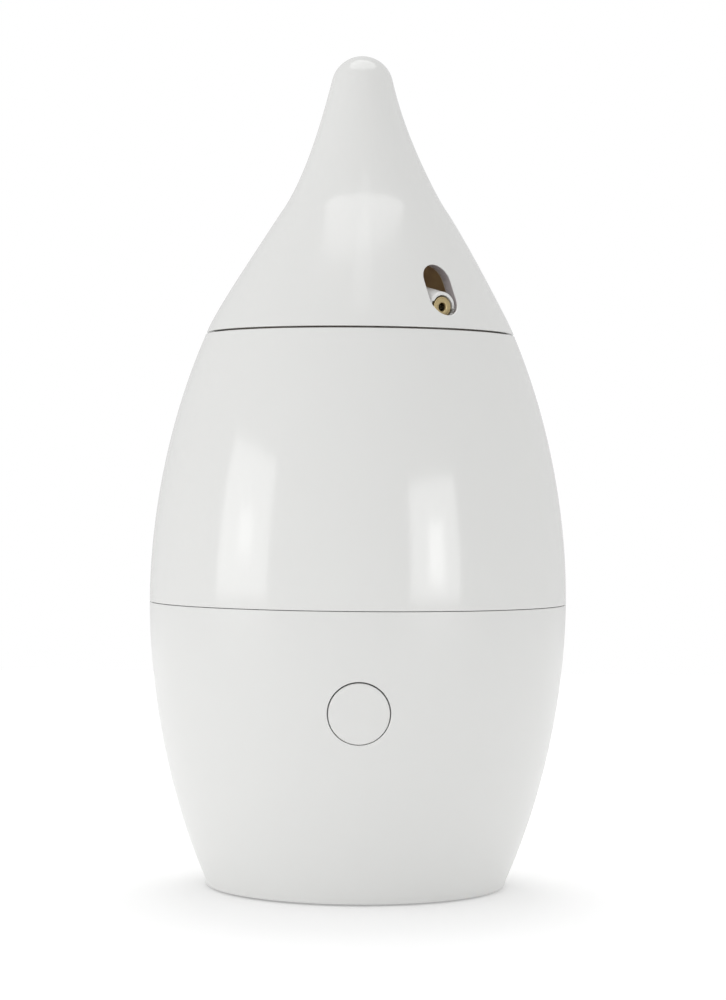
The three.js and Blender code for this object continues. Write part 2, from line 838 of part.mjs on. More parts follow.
// The water vessel is an open ring-shaped tub, so that the dip tube can sweep round its column.
function makeVessel() {
  const outerDepth = TANK_WALL + VESSEL_GAP;
  const outside = outline(VESSEL.bottom + 2, VESSEL.rim, 5, outerDepth);
  const inside = outline(VESSEL.floor + 3, VESSEL.rim, 5, outerDepth + VESSEL_WALL);
  outside.at(-1)[1] = VESSEL.rim;
  inside.at(-1)[1] = VESSEL.rim;
  return turned(
    closed([
      [COLUMN.socket, VESSEL.bottom],
      [VESSEL.skirtInner, VESSEL.bottom],
      [VESSEL.skirtInner, VESSEL.skirtBottom],
      [VESSEL.skirtOuter, VESSEL.skirtBottom],
      [VESSEL.skirtOuter, VESSEL.bottom],
      ...outside,
      ...inside.reverse(),
      [VESSEL.floorEdge, VESSEL.floor],
      [COLUMN.radius, VESSEL.floor],
      [COLUMN.radius, COLUMN.socketTop + 3],
      [COLUMN.upperRadius, COLUMN.socketTop + 6],
      [COLUMN.upperRadius, COLUMN.top],
      [COLUMN.bore, COLUMN.top],
      [COLUMN.bore, COLUMN.socketTop],
      [COLUMN.socket, COLUMN.socketTop],
    ]),
    32,
  );
}

place("tank_vessel", makeVessel(), FINISH.translucent, [0, 0, 0], tank);
place(
  "riser_tube",
  ring(RISER.bore, RISER.outer, RISER.bottom, RISER.top),
  FINISH.springSteel,
  [0, 0, 0],
  tank,
);

function makeRiserNut() {
  return cut(bar(NUT.radius, NUT.bottom, NUT.top, 6), bar(RISER.outer + GAP, NUT.bottom - 1, NUT.top + 1));
}

place("riser_nut", makeRiserNut(), FINISH.brass, [0, 0, 0], tank);
place(
  "rim_gasket",
  ring(RIM_GASKET.inner, RIM_GASKET.outer, VESSEL.rim + GAP, HEAD_PLATE.bottom - GAP, 40),
  FINISH.silicone,
  [0, 0, 0],
  tank,
);

// ---------------------------------------------------------------- swivel collar

const COLLAR = {
  bore: RISER.outer + GAP,
  outer: 7,
  groove: 6,
  bottom: 157,
  grooveBottom: 162,
  grooveTop: 164,
  top: 164.6,
};
const LUG = { half: 1.3, reach: 9.2, top: 160.8 };

function makeCollar() {
  const sleeve = turned(
    closed([
      [COLLAR.bore, COLLAR.bottom],
      [COLLAR.outer, COLLAR.bottom],
      [COLLAR.outer, COLLAR.grooveBottom],
      [COLLAR.groove, COLLAR.grooveBottom],
      [COLLAR.groove, COLLAR.grooveTop],
      [COLLAR.outer, COLLAR.grooveTop],
      [COLLAR.outer, COLLAR.top],
      [COLLAR.bore, COLLAR.top],
    ]),
  );
  const lugs = [0, Math.PI].map((turn) =>
    block([COLLAR.groove, LUG.reach], [-LUG.half, LUG.half], [COLLAR.bottom, LUG.top]).rotateZ(turn),
  );
  return join(sleeve, ...lugs);
}

place("swivel_collar", makeCollar(), FINISH.blackPlastic);
place(
  "collar_seal",
  sealRing(
    COLLAR.groove + SEAL_PLAY,
    COLLAR.outer + 2 * SEAL_PLAY,
    COLLAR.grooveBottom + SEAL_PLAY,
    COLLAR.grooveTop - SEAL_PLAY,
  ),
  FINISH.silicone,
);

// ---------------------------------------------------------------- head

const head = new THREE.Group();
humidifier.add(head);

const TO_JET = THREE.MathUtils.degToRad(JET_AZIMUTH - 90);
const COVER_BOSS = {
  circle: 32.5,
  radius: 3.2,
  bottom: 161.3,
  top: 176,
  bore: 1.4,
  boreTop: 171,
  angles: [66, 186, 306],
};

// The jet's horn tapers to its tip. A margin above 0 gives the space that has to stay clear of it.
function horn(margin = 0) {
  const startRadius = JET.tipRadius + JET.taper * (JET.tip - JET.start);
  return barAlongX(startRadius + margin, JET.start, JET.tip + margin, 28, JET.tipRadius + margin)
    .translate(0, 0, JET.height);
}

const CONE_INSIDE = { wallTop: 226, apex: 231 };

// The mist slot is a stadium that goes through the cover's wall along the jet's direction.
function makeSlotTool() {
  const radius = SLOT.width / 2;
  const stadium = new THREE.Shape();
  stadium.absarc(0, SLOT.top - radius, radius, 0, Math.PI, false);
  stadium.absarc(0, SLOT.bottom + radius, radius, Math.PI, 2 * Math.PI, false);
  stadium.closePath();
  return new THREE.ExtrudeGeometry(stadium, { depth: 30, bevelEnabled: false, curveSegments: 7 })
    .rotateX(Math.PI / 2)
    .rotateZ(Math.PI / 2)
    .translate(25, 0, 0);
}

function makeTopCover() {
  const outside = outline(TOP_SEAM.above, NECK[1], 10);
  const tip = [30, 60].map((angle) => {
    const [radius, rise] = polar(TIP_RADIUS, angle);
    return [radius, HEIGHT - TIP_RADIUS + rise];
  });
  const inside = outline(TOP_SEAM.above, CONE_INSIDE.wallTop, 7, COVER_WALL);
  inside[0][1] = TOP_SEAM.above;
  const end = [
    [0, HEIGHT],
    [0, CONE_INSIDE.apex],
  ];
  const wall = turned([...outside, ...tip, ...end, ...inside.reverse(), outside[0]], ROUND);
  const bosses = COVER_BOSS.angles.map((angle) => {
    const post = bar(COVER_BOSS.radius, COVER_BOSS.bottom, COVER_BOSS.top, 8)
      .translate(COVER_BOSS.circle, 0, 0)
      .rotateZ(THREE.MathUtils.degToRad(angle) + TO_JET);
    return common(post, drop(1));
  });
  const bores = COVER_BOSS.angles.map((angle) =>
    bar(COVER_BOSS.bore, COVER_BOSS.bottom - 1.3, COVER_BOSS.boreTop, 8)
      .translate(COVER_BOSS.circle, 0, 0)
      .rotateZ(THREE.MathUtils.degToRad(angle) + TO_JET),
  );
  const clearOfHorn = horn(0.35).rotateZ(TO_JET);
  return cut(join(wall, ...bosses), ...bores, makeSlotTool().rotateZ(TO_JET), clearOfHorn);
}

place("top_cover", makeTopCover(), FINISH.glossWhite, [0, 0, 0], head);

const HEAD_SKIRT = { inner: 36.8, outer: 38.4, bottom: 150 };
const KEYWAY = { reach: LUG.reach + 0.6, half: LUG.half + 0.4 };
const COVER_SCREW_HOLE = 1.75;
const DRAIN = { radius: 1.6, circle: 26, angles: [110, 150, 250] };

function makeHeadDeck() {
  const plate = turned(
    closed([
      [COLLAR.outer + 0.5, HEAD_PLATE.bottom],
      [HEAD_SKIRT.inner, HEAD_PLATE.bottom],
      [HEAD_SKIRT.inner, HEAD_SKIRT.bottom],
      [HEAD_SKIRT.outer, HEAD_SKIRT.bottom],
      [HEAD_SKIRT.outer, HEAD_PLATE.bottom],
      [HEAD_PLATE.radius, HEAD_PLATE.bottom],
      [HEAD_PLATE.radius, HEAD_PLATE.top],
      [COLLAR.outer + 0.5, HEAD_PLATE.top],
    ]),
    32,
  );
  const below = HEAD_PLATE.bottom - 1;
  const above = HEAD_PLATE.top + 1;
  const { reach, half } = KEYWAY;
  const keyway = block([-reach, reach], [-half, half], [below, above]);
  const hole = (radius, circle, angle, segments = 10) =>
    bar(radius, below, above, segments).translate(...polar(circle, angle + JET_AZIMUTH - 90), 0);
  const dipHole = hole(DIP.outer + 0.4, DIP.reach, 0, 12);
  const screwHoles = COVER_BOSS.angles.map((angle) => hole(COVER_SCREW_HOLE, COVER_BOSS.circle, angle));
  const drains = DRAIN.angles.map((angle) => hole(DRAIN.radius, DRAIN.circle, angle));
  return cut(plate, keyway, dipHole, ...screwHoles, ...drains);
}

place("head_deck", makeHeadDeck(), FINISH.innerWhite, [0, 0, 0], head);

COVER_BOSS.angles.forEach((angle, index) => {
  const up = screw(9, 1.1, 2.5, 1.6).rotateX(Math.PI);
  const [x, y] = polar(COVER_BOSS.circle, angle + JET_AZIMUTH - 90);
  place(`cover_screw_${index + 1}`, up, FINISH.steel, [x, y, HEAD_PLATE.bottom - GAP], head);
});

// Everything on the jet's axis is made along +X and turned to the jet's direction as a group.
const jet = new THREE.Group();
jet.rotation.z = TO_JET;
head.add(jet);

const NOZZLE = { radius: 3.1, back: 34.1, tip: 39.85, hole: 1.05, bore: 2.1, throat: 37.3 };
const AIR_WAY = { radius: 2.1, end: 34 };
const HUB = { radius: 11, bottom: HEAD_PLATE.top + GAP, top: 173.5, socketTop: 165.2 };
const LIQUID_JET = { radius: 1.1, bore: 0.5, back: 26.6, tip: 36.5 };
const STRAINER = { radius: 4, bottom: 88.6, top: 96.8, edge: 0.6 };

function makeNozzleBlock() {
  const hub = bar(HUB.radius, HUB.bottom, HUB.top, 24);
  const below = block([-20, 50], [-20, 20], [HUB.bottom - 20, HUB.bottom]);
  const socket = bar(COLLAR.outer + 2 * GAP, HUB.bottom - 1, HUB.socketTop, 24);
  const airWay = barAlongX(AIR_WAY.radius, 0, AIR_WAY.end, 14).translate(0, 0, JET.height);
  const seat = barAlongX(NOZZLE.radius + 0.2, AIR_WAY.end - 0.2, JET.tip + 1, 20)
    .translate(0, 0, JET.height);
  const dipSocket = bar(DIP.outer + GAP, HUB.bottom - 1, DIP.top + GAP, 12).translate(DIP.reach, 0, 0);
  return cut(join(hub, horn()), below, socket, airWay, seat, dipSocket);
}

place("nozzle_block", makeNozzleBlock(), FINISH.glossWhite, [0, 0, 0], jet);

// The nozzle is a stepped bush: a wide bore behind and a fine hole through its face.
function makeNozzle() {
  const bush = barAlongX(NOZZLE.radius, NOZZLE.back, NOZZLE.tip, 24);
  const bore = barAlongX(NOZZLE.bore, NOZZLE.back - 1, NOZZLE.throat, 14);
  const hole = barAlongX(NOZZLE.hole, NOZZLE.throat - 1, NOZZLE.tip + 1, 14);
  return cut(bush, bore, hole).translate(0, 0, JET.height);
}

place("brass_nozzle", makeNozzle(), FINISH.brass, [0, 0, 0], jet);

// The liquid jet stands in the air way and brings the water up to the nozzle's throat.
function makeLiquidJet() {
  const { radius, bore, back, tip } = LIQUID_JET;
  const tube = cut(barAlongX(radius, back, tip, 12), barAlongX(bore, back - 1, tip + 1, 8));
  return tube.translate(0, 0, JET.height);
}

place("liquid_jet", makeLiquidJet(), FINISH.steel, [0, 0, 0], jet);

place(
  "dip_tube",
  ring(DIP.bore, DIP.outer, DIP.bottom, DIP.top, 12),
  FINISH.silicone,
  [DIP.reach, 0, 0],
  jet,
);
place(
  "inlet_strainer",
  turned(
    [
      [0, STRAINER.bottom],
      [STRAINER.radius - STRAINER.edge, STRAINER.bottom],
      [STRAINER.radius, STRAINER.bottom + STRAINER.edge],
      [STRAINER.radius, STRAINER.top - STRAINER.edge],
      [STRAINER.radius - STRAINER.edge, STRAINER.top],
      [DIP.outer + GAP, STRAINER.top],
      [DIP.outer + GAP, DIP.bottom - 1],
      [0, DIP.bottom - 1],
    ],
    16,
  ),
  FINISH.foam,
  [DIP.reach, 0, 0],
  jet,
);

export default humidifier;
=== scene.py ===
import bisect
import math

import bmesh
import bpy
from mathutils import Matrix, Vector, noise as noises


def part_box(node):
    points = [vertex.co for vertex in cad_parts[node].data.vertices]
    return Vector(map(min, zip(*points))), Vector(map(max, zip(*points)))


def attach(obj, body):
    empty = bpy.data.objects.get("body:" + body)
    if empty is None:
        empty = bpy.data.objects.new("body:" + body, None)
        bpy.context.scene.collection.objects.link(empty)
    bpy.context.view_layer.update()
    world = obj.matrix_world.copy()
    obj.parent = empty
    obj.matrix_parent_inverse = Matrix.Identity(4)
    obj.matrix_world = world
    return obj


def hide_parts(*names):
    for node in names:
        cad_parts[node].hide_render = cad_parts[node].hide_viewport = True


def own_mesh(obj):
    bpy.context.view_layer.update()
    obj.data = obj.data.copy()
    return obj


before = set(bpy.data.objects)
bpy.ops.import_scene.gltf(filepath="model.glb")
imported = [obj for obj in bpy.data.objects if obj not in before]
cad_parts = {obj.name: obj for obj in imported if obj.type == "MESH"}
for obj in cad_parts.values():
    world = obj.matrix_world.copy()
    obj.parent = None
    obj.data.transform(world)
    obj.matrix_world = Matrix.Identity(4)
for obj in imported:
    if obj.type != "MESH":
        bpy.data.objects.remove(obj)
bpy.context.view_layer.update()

# Lengths are in millimetres and angles in degrees until a mesh is made, in metres.
MM = 0.001
TAU = 2 * math.pi
FRONT = -90

# -------- sizes


def span(node):
    """Lowest and highest corner of a CAD node, in millimetres."""
    low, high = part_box(node)
    return Vector(low) / MM, Vector(high) / MM


def bottom(node):
    return span(node)[0].z


def top(node):
    return span(node)[1].z


def middle(node):
    low, high = span(node)
    return (low + high) / 2


HEIGHT = top("top_cover")
TIP_RADIUS = 9
BASE_BOTTOM = bottom("base_shell")
BASE_TOP = top("base_shell") + 0.06
TANK_BOTTOM = bottom("middle_shell") - 0.06
TANK_TOP = top("middle_shell") + 0.07
COVER_BOTTOM = bottom("top_cover") - 0.08
BASE_WALL = 2.4
TANK_WALL = 2.2
COVER_WALL = 3.4
BUTTON_RADIUS = 8.42
BUTTON_GAP = 0.25
BUTTON_HEIGHT = middle("power_button").z
JET_AZIMUTH = 34.35
JET_ANGLE = FRONT + JET_AZIMUTH
JET_HEIGHT = 165.5
SLOT_RADIUS = 4.55
SLOT_BOTTOM = 163.1
SLOT_TOP = 177.6
ROUND = 192
SHARP = math.radians(38)

# -------- the outline


def bezier(p0, p1, p2, p3, t):
    a, b, c, d = (1 - t) ** 3, 3 * t * (1 - t) ** 2, 3 * t * t * (1 - t), t ** 3
    return tuple(a * p0[k] + b * p1[k] + c * p2[k] + d * p3[k] for k in (0, 1))


def stretch(start, start_slope, start_handle, end, end_slope, end_handle):
    """One stretch of the outline, from its end points, their slopes dr/dz and the handles' lengths."""
    def handle(slope, length):
        size = math.hypot(slope, 1)
        return slope / size * length, length / size

    a = handle(start_slope, start_handle)
    b = handle(end_slope, end_handle)
    return start, (start[0] + a[0], start[1] + a[1]), (end[0] - b[0], end[1] - b[1]), end


OUTLINE = [
    stretch((43.2, 0.3), 0, 0.95, (43.95, 3), 0.43, 0.95),
    stretch((43.95, 3), 0.43, 31.37, (60.19, 83.09), 0, 20.97),
    stretch((60.19, 83.09), 0, 11.76, (44.53, 159.2), -0.43, 35.95),
    stretch((44.53, 159.2), -0.3, 5.13, (23.59, 195.44), -0.72, 4),
    stretch((23.59, 195.44), -0.72, 4, (8.755, 233.09), -0.24, 20.44),
]


def outline_points(step=0.004):
    """The whole outline as dense (radius, height) points, with the round tip at its end."""
    points = []
    for piece in OUTLINE:
        points += [bezier(*piece, t * step) for t in range(round(1 / step))]
    centre = HEIGHT - TIP_RADIUS
    start = math.acos(OUTLINE[-1][3][0] / TIP_RADIUS)
    count = 60
    for n in range(count + 1):
        angle = start + (math.pi / 2 - start) * n / count
        points.append((TIP_RADIUS * math.cos(angle), centre + TIP_RADIUS * math.sin(angle)))
    return points


DENSE = outline_points()


class Surface:
    """The outline moved inwards by a depth along its normal: gives a radius at any height."""

    def __init__(self, depth=0.0):
        self.points = []
        for before, here, after in zip(DENSE[:-2], DENSE[1:-1], DENSE[2:]):
            dr, dz = after[0] - before[0], after[1] - before[1]
            size = math.hypot(dr, dz)
            point = (here[0] - depth * dz / size, here[1] + depth * dr / size)
            if not self.points or point[1] > self.points[-1][1]:
                self.points.append(point)
        self.points = [p for p in self.points if p[0] > 0]
        self.heights = [p[1] for p in self.points]

    def radius(self, z):
        above = min(max(bisect.bisect_right(self.heights, z), 1), len(self.points) - 1)
        (r0, z0), (r1, z1) = self.points[above - 1:above + 1]
        return r0 + (r1 - r0) * (z - z0) / (z1 - z0)


OUTSIDE = Surface()

# -------- mesh tools


def link(obj):
    bpy.context.scene.collection.objects.link(obj)
    return obj


def finish_mesh(name, bm, smooth=True):
    """A new object from a bmesh in millimetres, with its faces pointing out."""
    bmesh.ops.recalc_face_normals(bm, faces=bm.faces)
    bmesh.ops.scale(bm, vec=(MM, MM, MM), verts=bm.verts)
    mesh = bpy.data.meshes.new(name)
    bm.to_mesh(mesh)
    bm.free()
    for face in mesh.polygons:
        face.use_smooth = smooth
    obj = link(bpy.data.objects.new(name, mesh))
    if smooth:
        mesh.set_sharp_from_angle(angle=SHARP)
        weighted = obj.modifiers.new("even_shading", "WEIGHTED_NORMAL")
        weighted.weight = 80
        weighted.keep_sharp = True
    return obj


def fillet(corners, steps=4, closed=True):
    """A profile with rounded corners. A corner is (radius, height) or (radius, height, rounding)."""
    result = []
    count = len(corners)
    for n, corner in enumerate(corners):
        here = Vector(corner[:2])
        rounding = corner[2] if len(corner) > 2 else 0
        inner = closed or 0 < n < count - 1
        if not rounding or not inner:
            result.append(tuple(here))
            continue
        before = Vector(corners[n - 1][:2]) - here
        after = Vector(corners[(n + 1) % count][:2]) - here
        reach = min(rounding, before.length * 0.49, after.length * 0.49)
        start, end = here + before.normalized() * reach, here + after.normalized() * reach
        for k in range(steps + 1):
            t = k / steps
            result.append(tuple((1 - t) ** 2 * start + 2 * t * (1 - t) * here + t * t * end))
    return result


def add_revolved(bm, profile, segments, closed, matrix=None):
    """Adds a profile of (radius, height) turned round Z; a radius of 0 becomes a single point.

    A radius may also be a function of the angle, for threads."""
    matrix = matrix or Matrix.Identity(4)
    angles = [TAU * n / segments for n in range(segments)]
    rows = []
    for radius, height in profile:
        if not callable(radius) and radius < 1e-6:
            rows.append([bm.verts.new(matrix @ Vector((0, 0, height)))])
            continue
        rows.append([
            bm.verts.new(matrix @ Vector((size * math.cos(a), size * math.sin(a), height)))
            for a in angles
            for size in (radius(a) if callable(radius) else radius,)
        ])
    pairs = list(zip(rows, rows[1:]))
    if closed:
        pairs.append((rows[-1], rows[0]))
    for low, high in pairs:
        for n in range(segments):
            m = (n + 1) % segments
            if len(low) == 1 and len(high) == 1:
                continue
            if len(low) == 1:
                bm.faces.new((low[0], high[m], high[n]))
            elif len(high) == 1:
                bm.faces.new((low[n], low[m], high[0]))
            else:
                bm.faces.new((low[n], low[m], high[m], high[n]))


def revolved(name, profile, segments=96, closed=True, matrix=None):
    bm = bmesh.new()
    add_revolved(bm, profile, segments, closed, matrix)
    return finish_mesh(name, bm)


def add_box(bm, low, high, rounding=0.0, matrix=None):
    """Adds a box whose edges are rounded."""
    size = [h - l for l, h in zip(low, high)]
    place = Matrix.Translation([(l + h) / 2 for l, h in zip(low, high)])
    made = bmesh.ops.create_cube(bm, size=1, matrix=place @ Matrix.Diagonal((*size, 1)))
    verts = made["verts"]
    if rounding:
        edges = {edge for vert in verts for edge in vert.link_edges}
        bevelled = bmesh.ops.bevel(
            bm, geom=list(edges), offset=rounding, segments=3, affect="EDGES", profile=0.5,
        )
        verts = list({v for face in bevelled["faces"] for v in face.verts} | {v for v in verts if v.is_valid})
    if matrix:
        bmesh.ops.transform(bm, matrix=matrix, verts=verts)


def turned_by(degrees):
    return Matrix.Rotation(math.radians(degrees), 4, "Z")


ALONG_X = Matrix.Rotation(math.radians(90), 4, "Y")
ALONG_Y = Matrix.Rotation(math.radians(90), 4, "X")
TO_JET = turned_by(JET_ANGLE)


def combine(obj, operation, *tools):
    """Cuts, joins or meets a piece with the tools for good, and removes them."""
    for tool in tools:
        change = obj.modifiers.new("change", "BOOLEAN")
        change.operation = operation
        change.solver = "EXACT"
        change.object = tool
        obj.modifiers.move(len(obj.modifiers) - 1, 0)
        with bpy.context.temp_override(object=obj, active_object=obj):
            bpy.ops.object.modifier_apply(modifier=change.name)
        bpy.data.objects.remove(tool, do_unlink=True)
    obj.data.set_sharp_from_angle(angle=SHARP)
    return obj


def subtract(obj, *tools):
    return combine(obj, "DIFFERENCE", *tools)


def unite(obj, *tools):
    return combine(obj, "UNION", *tools)


# -------- shells with holes


class Hole:
    """A hole cut straight through a shell along the horizontal direction at an angle."""

    def __init__(self, angle, height, radius, half_length=0.0, edge=0.3, block=2.0):
        self.angle = angle
        self.height = height
        self.radius = radius
        self.half_length = half_length
        self.edge = edge
        self.block = block
        self.inner = self.reach
        heading = math.radians(angle)
        self.out = Vector((math.cos(heading), math.sin(heading), 0))
        self.side = Vector((-math.sin(heading), math.cos(heading), 0))

    def reach(self, across, up):
        """Distance from the middle to the hole's edge in a direction (unit vector)."""
        if abs(across) > 1e-9:
            straight = self.radius / abs(across)
            if abs(straight * up) <= self.half_length:
                return straight
        along = self.half_length * abs(up)
        return along + math.sqrt(max(self.radius ** 2 - (self.half_length * across) ** 2, 0))

    def point(self, surface, across, up, depth=0.0):
        """The point of a surface that is this far across and up from the hole's middle."""
        height = self.height + up
        radius = surface.radius(height)
        forward = math.sqrt(max(radius ** 2 - across ** 2, 0)) - depth
        return self.out * forward + self.side * across + Vector((0, 0, height))


def loop_round(columns, rows):
    """The grid positions round a block of cells, anticlockwise seen from outside."""
    c0, c1 = columns
    r0, r1 = rows
    ring = [(c, r0) for c in range(c0, c1)]
    ring += [(c1, r) for r in range(r0, r1)]
    ring += [(c, r1) for c in range(c1, c0, -1)]
    ring += [(c0, r) for r in range(r1, r0, -1)]
    return ring


LINING_FACES, INNER_FACES = 1, 2
ROW_HEIGHT = 1.6
BLENDS = (0.72, 0.47, 0.27, 0.12)
EDGE_TURNS = [math.radians(a) for a in (0, 22.5, 45, 67.5, 90)]


def shell(name, low, high, wall, holes=(), bend=None, lid=None, relief=lambda z: 0):
    """A shell that follows the outline from one height to another, with rounded rims and holes.

    The wall gets thinner from inside by the relief, and its faces carry an index for their side."""
    inside = Surface(wall)
    edge = 0.3
    count = round((high - low) / ROW_HEIGHT)
    heights = [low + edge + (high - low - 2 * edge) * n / count for n in range(count + 1)]
    outer_rows = [(OUTSIDE.radius(z), z) for z in heights]
    inner_rows = [(inside.radius(z) + relief(z), z) for z in heights]

    def rim(z, start, end):
        corners = [start, (start[0], z, edge), (end[0], z, edge), end]
        return fillet(corners, steps=4, closed=False)[1:-1]

    bm = bmesh.new()
    if lid:
        top_rim = lid(outer_rows[-1], inner_rows[-1])
    else:
        top_rim = rim(high, outer_rows[-1], inner_rows[-1])
    bottom_rim = rim(low, inner_rows[0], outer_rows[0])
    profile = outer_rows + top_rim + inner_rows[::-1] + bottom_rim
    angles = [TAU * n / ROUND for n in range(ROUND)]
    grid = [[bm.verts.new((r * math.cos(a), r * math.sin(a), z)) for a in angles] for r, z in profile]
    skipped = set()
    inner_start = len(outer_rows) + len(top_rim)

    def inner_row(row):
        return inner_start + len(inner_rows) - 1 - row

    for hole in holes:
        reach = (hole.radius + hole.edge) * hole.block
        tall = hole.half_length + reach
        wide = math.degrees(math.asin(min(reach / OUTSIDE.radius(hole.height), 0.99)))
        c0 = math.floor((hole.angle - wide) * ROUND / 360)
        c1 = math.ceil((hole.angle + wide) * ROUND / 360)
        r0 = max(n for n, z in enumerate(heights) if z <= max(hole.height - tall, heights[0]))
        r1 = min(n for n, z in enumerate(heights) if z >= min(hole.height + tall, heights[-1]))
        for c in range(c0, c1):
            for r in range(r0, r1):
                skipped.add((c % ROUND, r))
                skipped.add((c % ROUND, inner_row(r + 1)))
        ring = loop_round((c0, c1), (r0, r1))
        add_hole(bm, grid, hole, ring, inside, inner_row, heights)

    rows = len(profile)
    for r in range(rows):
        above = (r + 1) % rows
        for c in range(ROUND):
            if (c, r) in skipped:
                continue
            d = (c + 1) % ROUND
            face = bm.faces.new((grid[r][c], grid[r][d], grid[above][d], grid[above][c]))
            if inner_start <= r < inner_start + len(inner_rows) - 1:
                face.material_index = INNER_FACES
    if bend:
        for vert in bm.verts:
            vert.co.x += bend(vert.co.z)
    loose = [v for v in bm.verts if not v.link_faces]
    bmesh.ops.delete(bm, geom=loose, context="VERTS")
    return finish_mesh(name, bm)


def add_hole(bm, grid, hole, ring, inside, inner_row, heights):
    """Fills the gap between a block's border and a hole, on both surfaces, and lines the hole."""
    def vert(surface, unit, size, depth=0.0):
        return bm.verts.new(hole.point(surface, unit[0] * size, unit[1] * size, depth))

    columns = []
    for c, r in ring:
        angle = math.radians(360 * c / ROUND - hole.angle)
        across = OUTSIDE.radius(heights[r]) * math.sin(angle)
        up = heights[r] - hole.height
        length = math.hypot(across, up)
        unit = (across / length, up / length)
        outer_reach = hole.reach(*unit)
        inner_reach = hole.inner(*unit)
        inner_across = inside.radius(heights[r]) * math.sin(angle)
        inner_length = math.hypot(inner_across, up)
        inner_unit = (inner_across / inner_length, up / inner_length)
        column = [grid[r][c % ROUND]]
        start = outer_reach + hole.edge
        column += [vert(OUTSIDE, unit, start + (length - start) * blend) for blend in BLENDS]
        for turn in EDGE_TURNS:
            size = outer_reach + hole.edge * (1 - math.sin(turn))
            column.append(vert(OUTSIDE, unit, size, hole.edge * (1 - math.cos(turn))))
        for turn in reversed(EDGE_TURNS):
            size = inner_reach + hole.edge * (1 - math.sin(turn))
            column.append(vert(inside, unit, size, -hole.edge * (1 - math.cos(turn))))
        start = inner_reach + hole.edge
        for blend in reversed(BLENDS):
            column.append(vert(inside, inner_unit, start + (inner_length - start) * blend))
        column.append(grid[inner_row(r)][c % ROUND])
        columns.append(column)
    lining = len(BLENDS) + len(EDGE_TURNS)
    for left, right in zip(columns, columns[1:] + columns[:1]):
        for n, (a, b, c, d) in enumerate(zip(left, right, right[1:], left[1:])):
            face = bm.faces.new((a, b, c, d))
            if n == lining:
                face.material_index = LINING_FACES
            elif n > lining:
                face.material_index = INNER_FACES


# -------- materials


def node(tree, kind, inputs=None, **settings):
    made = tree.nodes.new(kind)
    for key, value in settings.items():
        setattr(made, key, value)
    for key, value in (inputs or {}).items():
        if isinstance(value, bpy.types.NodeSocket):
            tree.links.new(value, made.inputs[key])
        else:
            made.inputs[key].default_value = value
    return made


def new_material(name):
    material = bpy.data.materials.new(name)
    material.use_nodes = True
    tree = material.node_tree
    where = node(tree, "ShaderNodeTexCoord").outputs["Object"]
    return material, tree, tree.nodes["Principled BSDF"], where


def noise(tree, where, scale, detail=3.0, roughness=0.5):
    inputs = {"Vector": where, "Scale": scale, "Detail": detail, "Roughness": roughness}
    return node(tree, "ShaderNodeTexNoise", inputs).outputs["Fac"]


def spread(tree, value, low, high, start=0.3, end=0.7):
    inputs = {"Value": value, "From Min": start, "From Max": end, "To Min": low, "To Max": high}
    return node(tree, "ShaderNodeMapRange", inputs).outputs["Result"]


def mix_colours(tree, factor, first, second):
    made = node(tree, "ShaderNodeMix", data_type="RGBA")
    sockets = [s for s in made.inputs if s.enabled]
    for socket, value in zip(sockets, (factor, first, second)):
        if isinstance(value, bpy.types.NodeSocket):
            tree.links.new(value, socket)
        else:
            socket.default_value = (*value, 1.0)
    return next(s for s in made.outputs if s.enabled)


def dress(tree, shader, colour, roughness, height, bump, distance=0.0001, **constants):
    """Feeds the shader its colour, roughness and bump, and sets its other values."""
    tree.links.new(colour, shader.inputs["Base Color"])
    tree.links.new(roughness, shader.inputs["Roughness"])
    relief = node(tree, "ShaderNodeBump", {"Height": height, "Strength": bump, "Distance": distance})
    tree.links.new(relief.outputs["Normal"], shader.inputs["Normal"])
    for name, value in constants.items():
        shader.inputs[name.replace("_", " ")].default_value = value


def scaled(colour, factor, lift=0.0):
    return tuple(min(c * factor + lift, 1) for c in colour)


def moulded(name, colour, roughness, grain=1400, bump=0.05, tint=0.02, gloss_spread=0.05):
    """Moulded plastic: a faint texture, slow changes of gloss and tone, and handled edges."""
    material, tree, shader, where = new_material(name)
    edges = node(tree, "ShaderNodeNewGeometry").outputs["Pointiness"]
    body = mix_colours(tree, noise(tree, where, 18, 4), scaled(colour, 1 - tint), colour)
    worn = mix_colours(tree, spread(tree, edges, 0, 0.5, 0.53, 0.6), body, scaled(colour, 1.04))
    gloss = spread(tree, noise(tree, where, 90, 5, 0.6), roughness - gloss_spread, roughness + gloss_spread)
    dress(tree, shader, worn, gloss, noise(tree, where, grain, 2), bump)
    return material


def metal(name, colour, roughness, stretch_by=(1, 1, 1), grain=900, bump=0.1):
    """Metal with fine machining lines along the axes that the stretch leaves out."""
    material, tree, shader, where = new_material(name)
    mapping = node(tree, "ShaderNodeMapping", {"Vector": where, "Scale": stretch_by})
    lines = noise(tree, mapping.outputs["Vector"], grain, 3)
    body = mix_colours(tree, noise(tree, where, 120, 4), scaled(colour, 0.92), colour)
    gloss = spread(tree, lines, roughness * 0.7, roughness * 1.35)
    dress(tree, shader, body, gloss, lines, bump, Metallic=1)
    return material


def soft(name, colour, roughness, grain=700, bump=0.2, sheen=0.0):
    """Rubber, silicone or foam: matt, with a pitted surface."""
    material, tree, shader, where = new_material(name)
    pits = noise(tree, where, grain, 4, 0.65)
    dust = spread(tree, noise(tree, where, 60, 5), 0, 0.5, 0.4, 0.75)
    body = mix_colours(tree, dust, colour, scaled(colour, 1.5, 0.01))
    gloss = spread(tree, pits, roughness - 0.1, min(roughness + 0.1, 1))
    dress(tree, shader, body, gloss, pits, bump, 0.0002, Sheen_Weight=sheen)
    return material


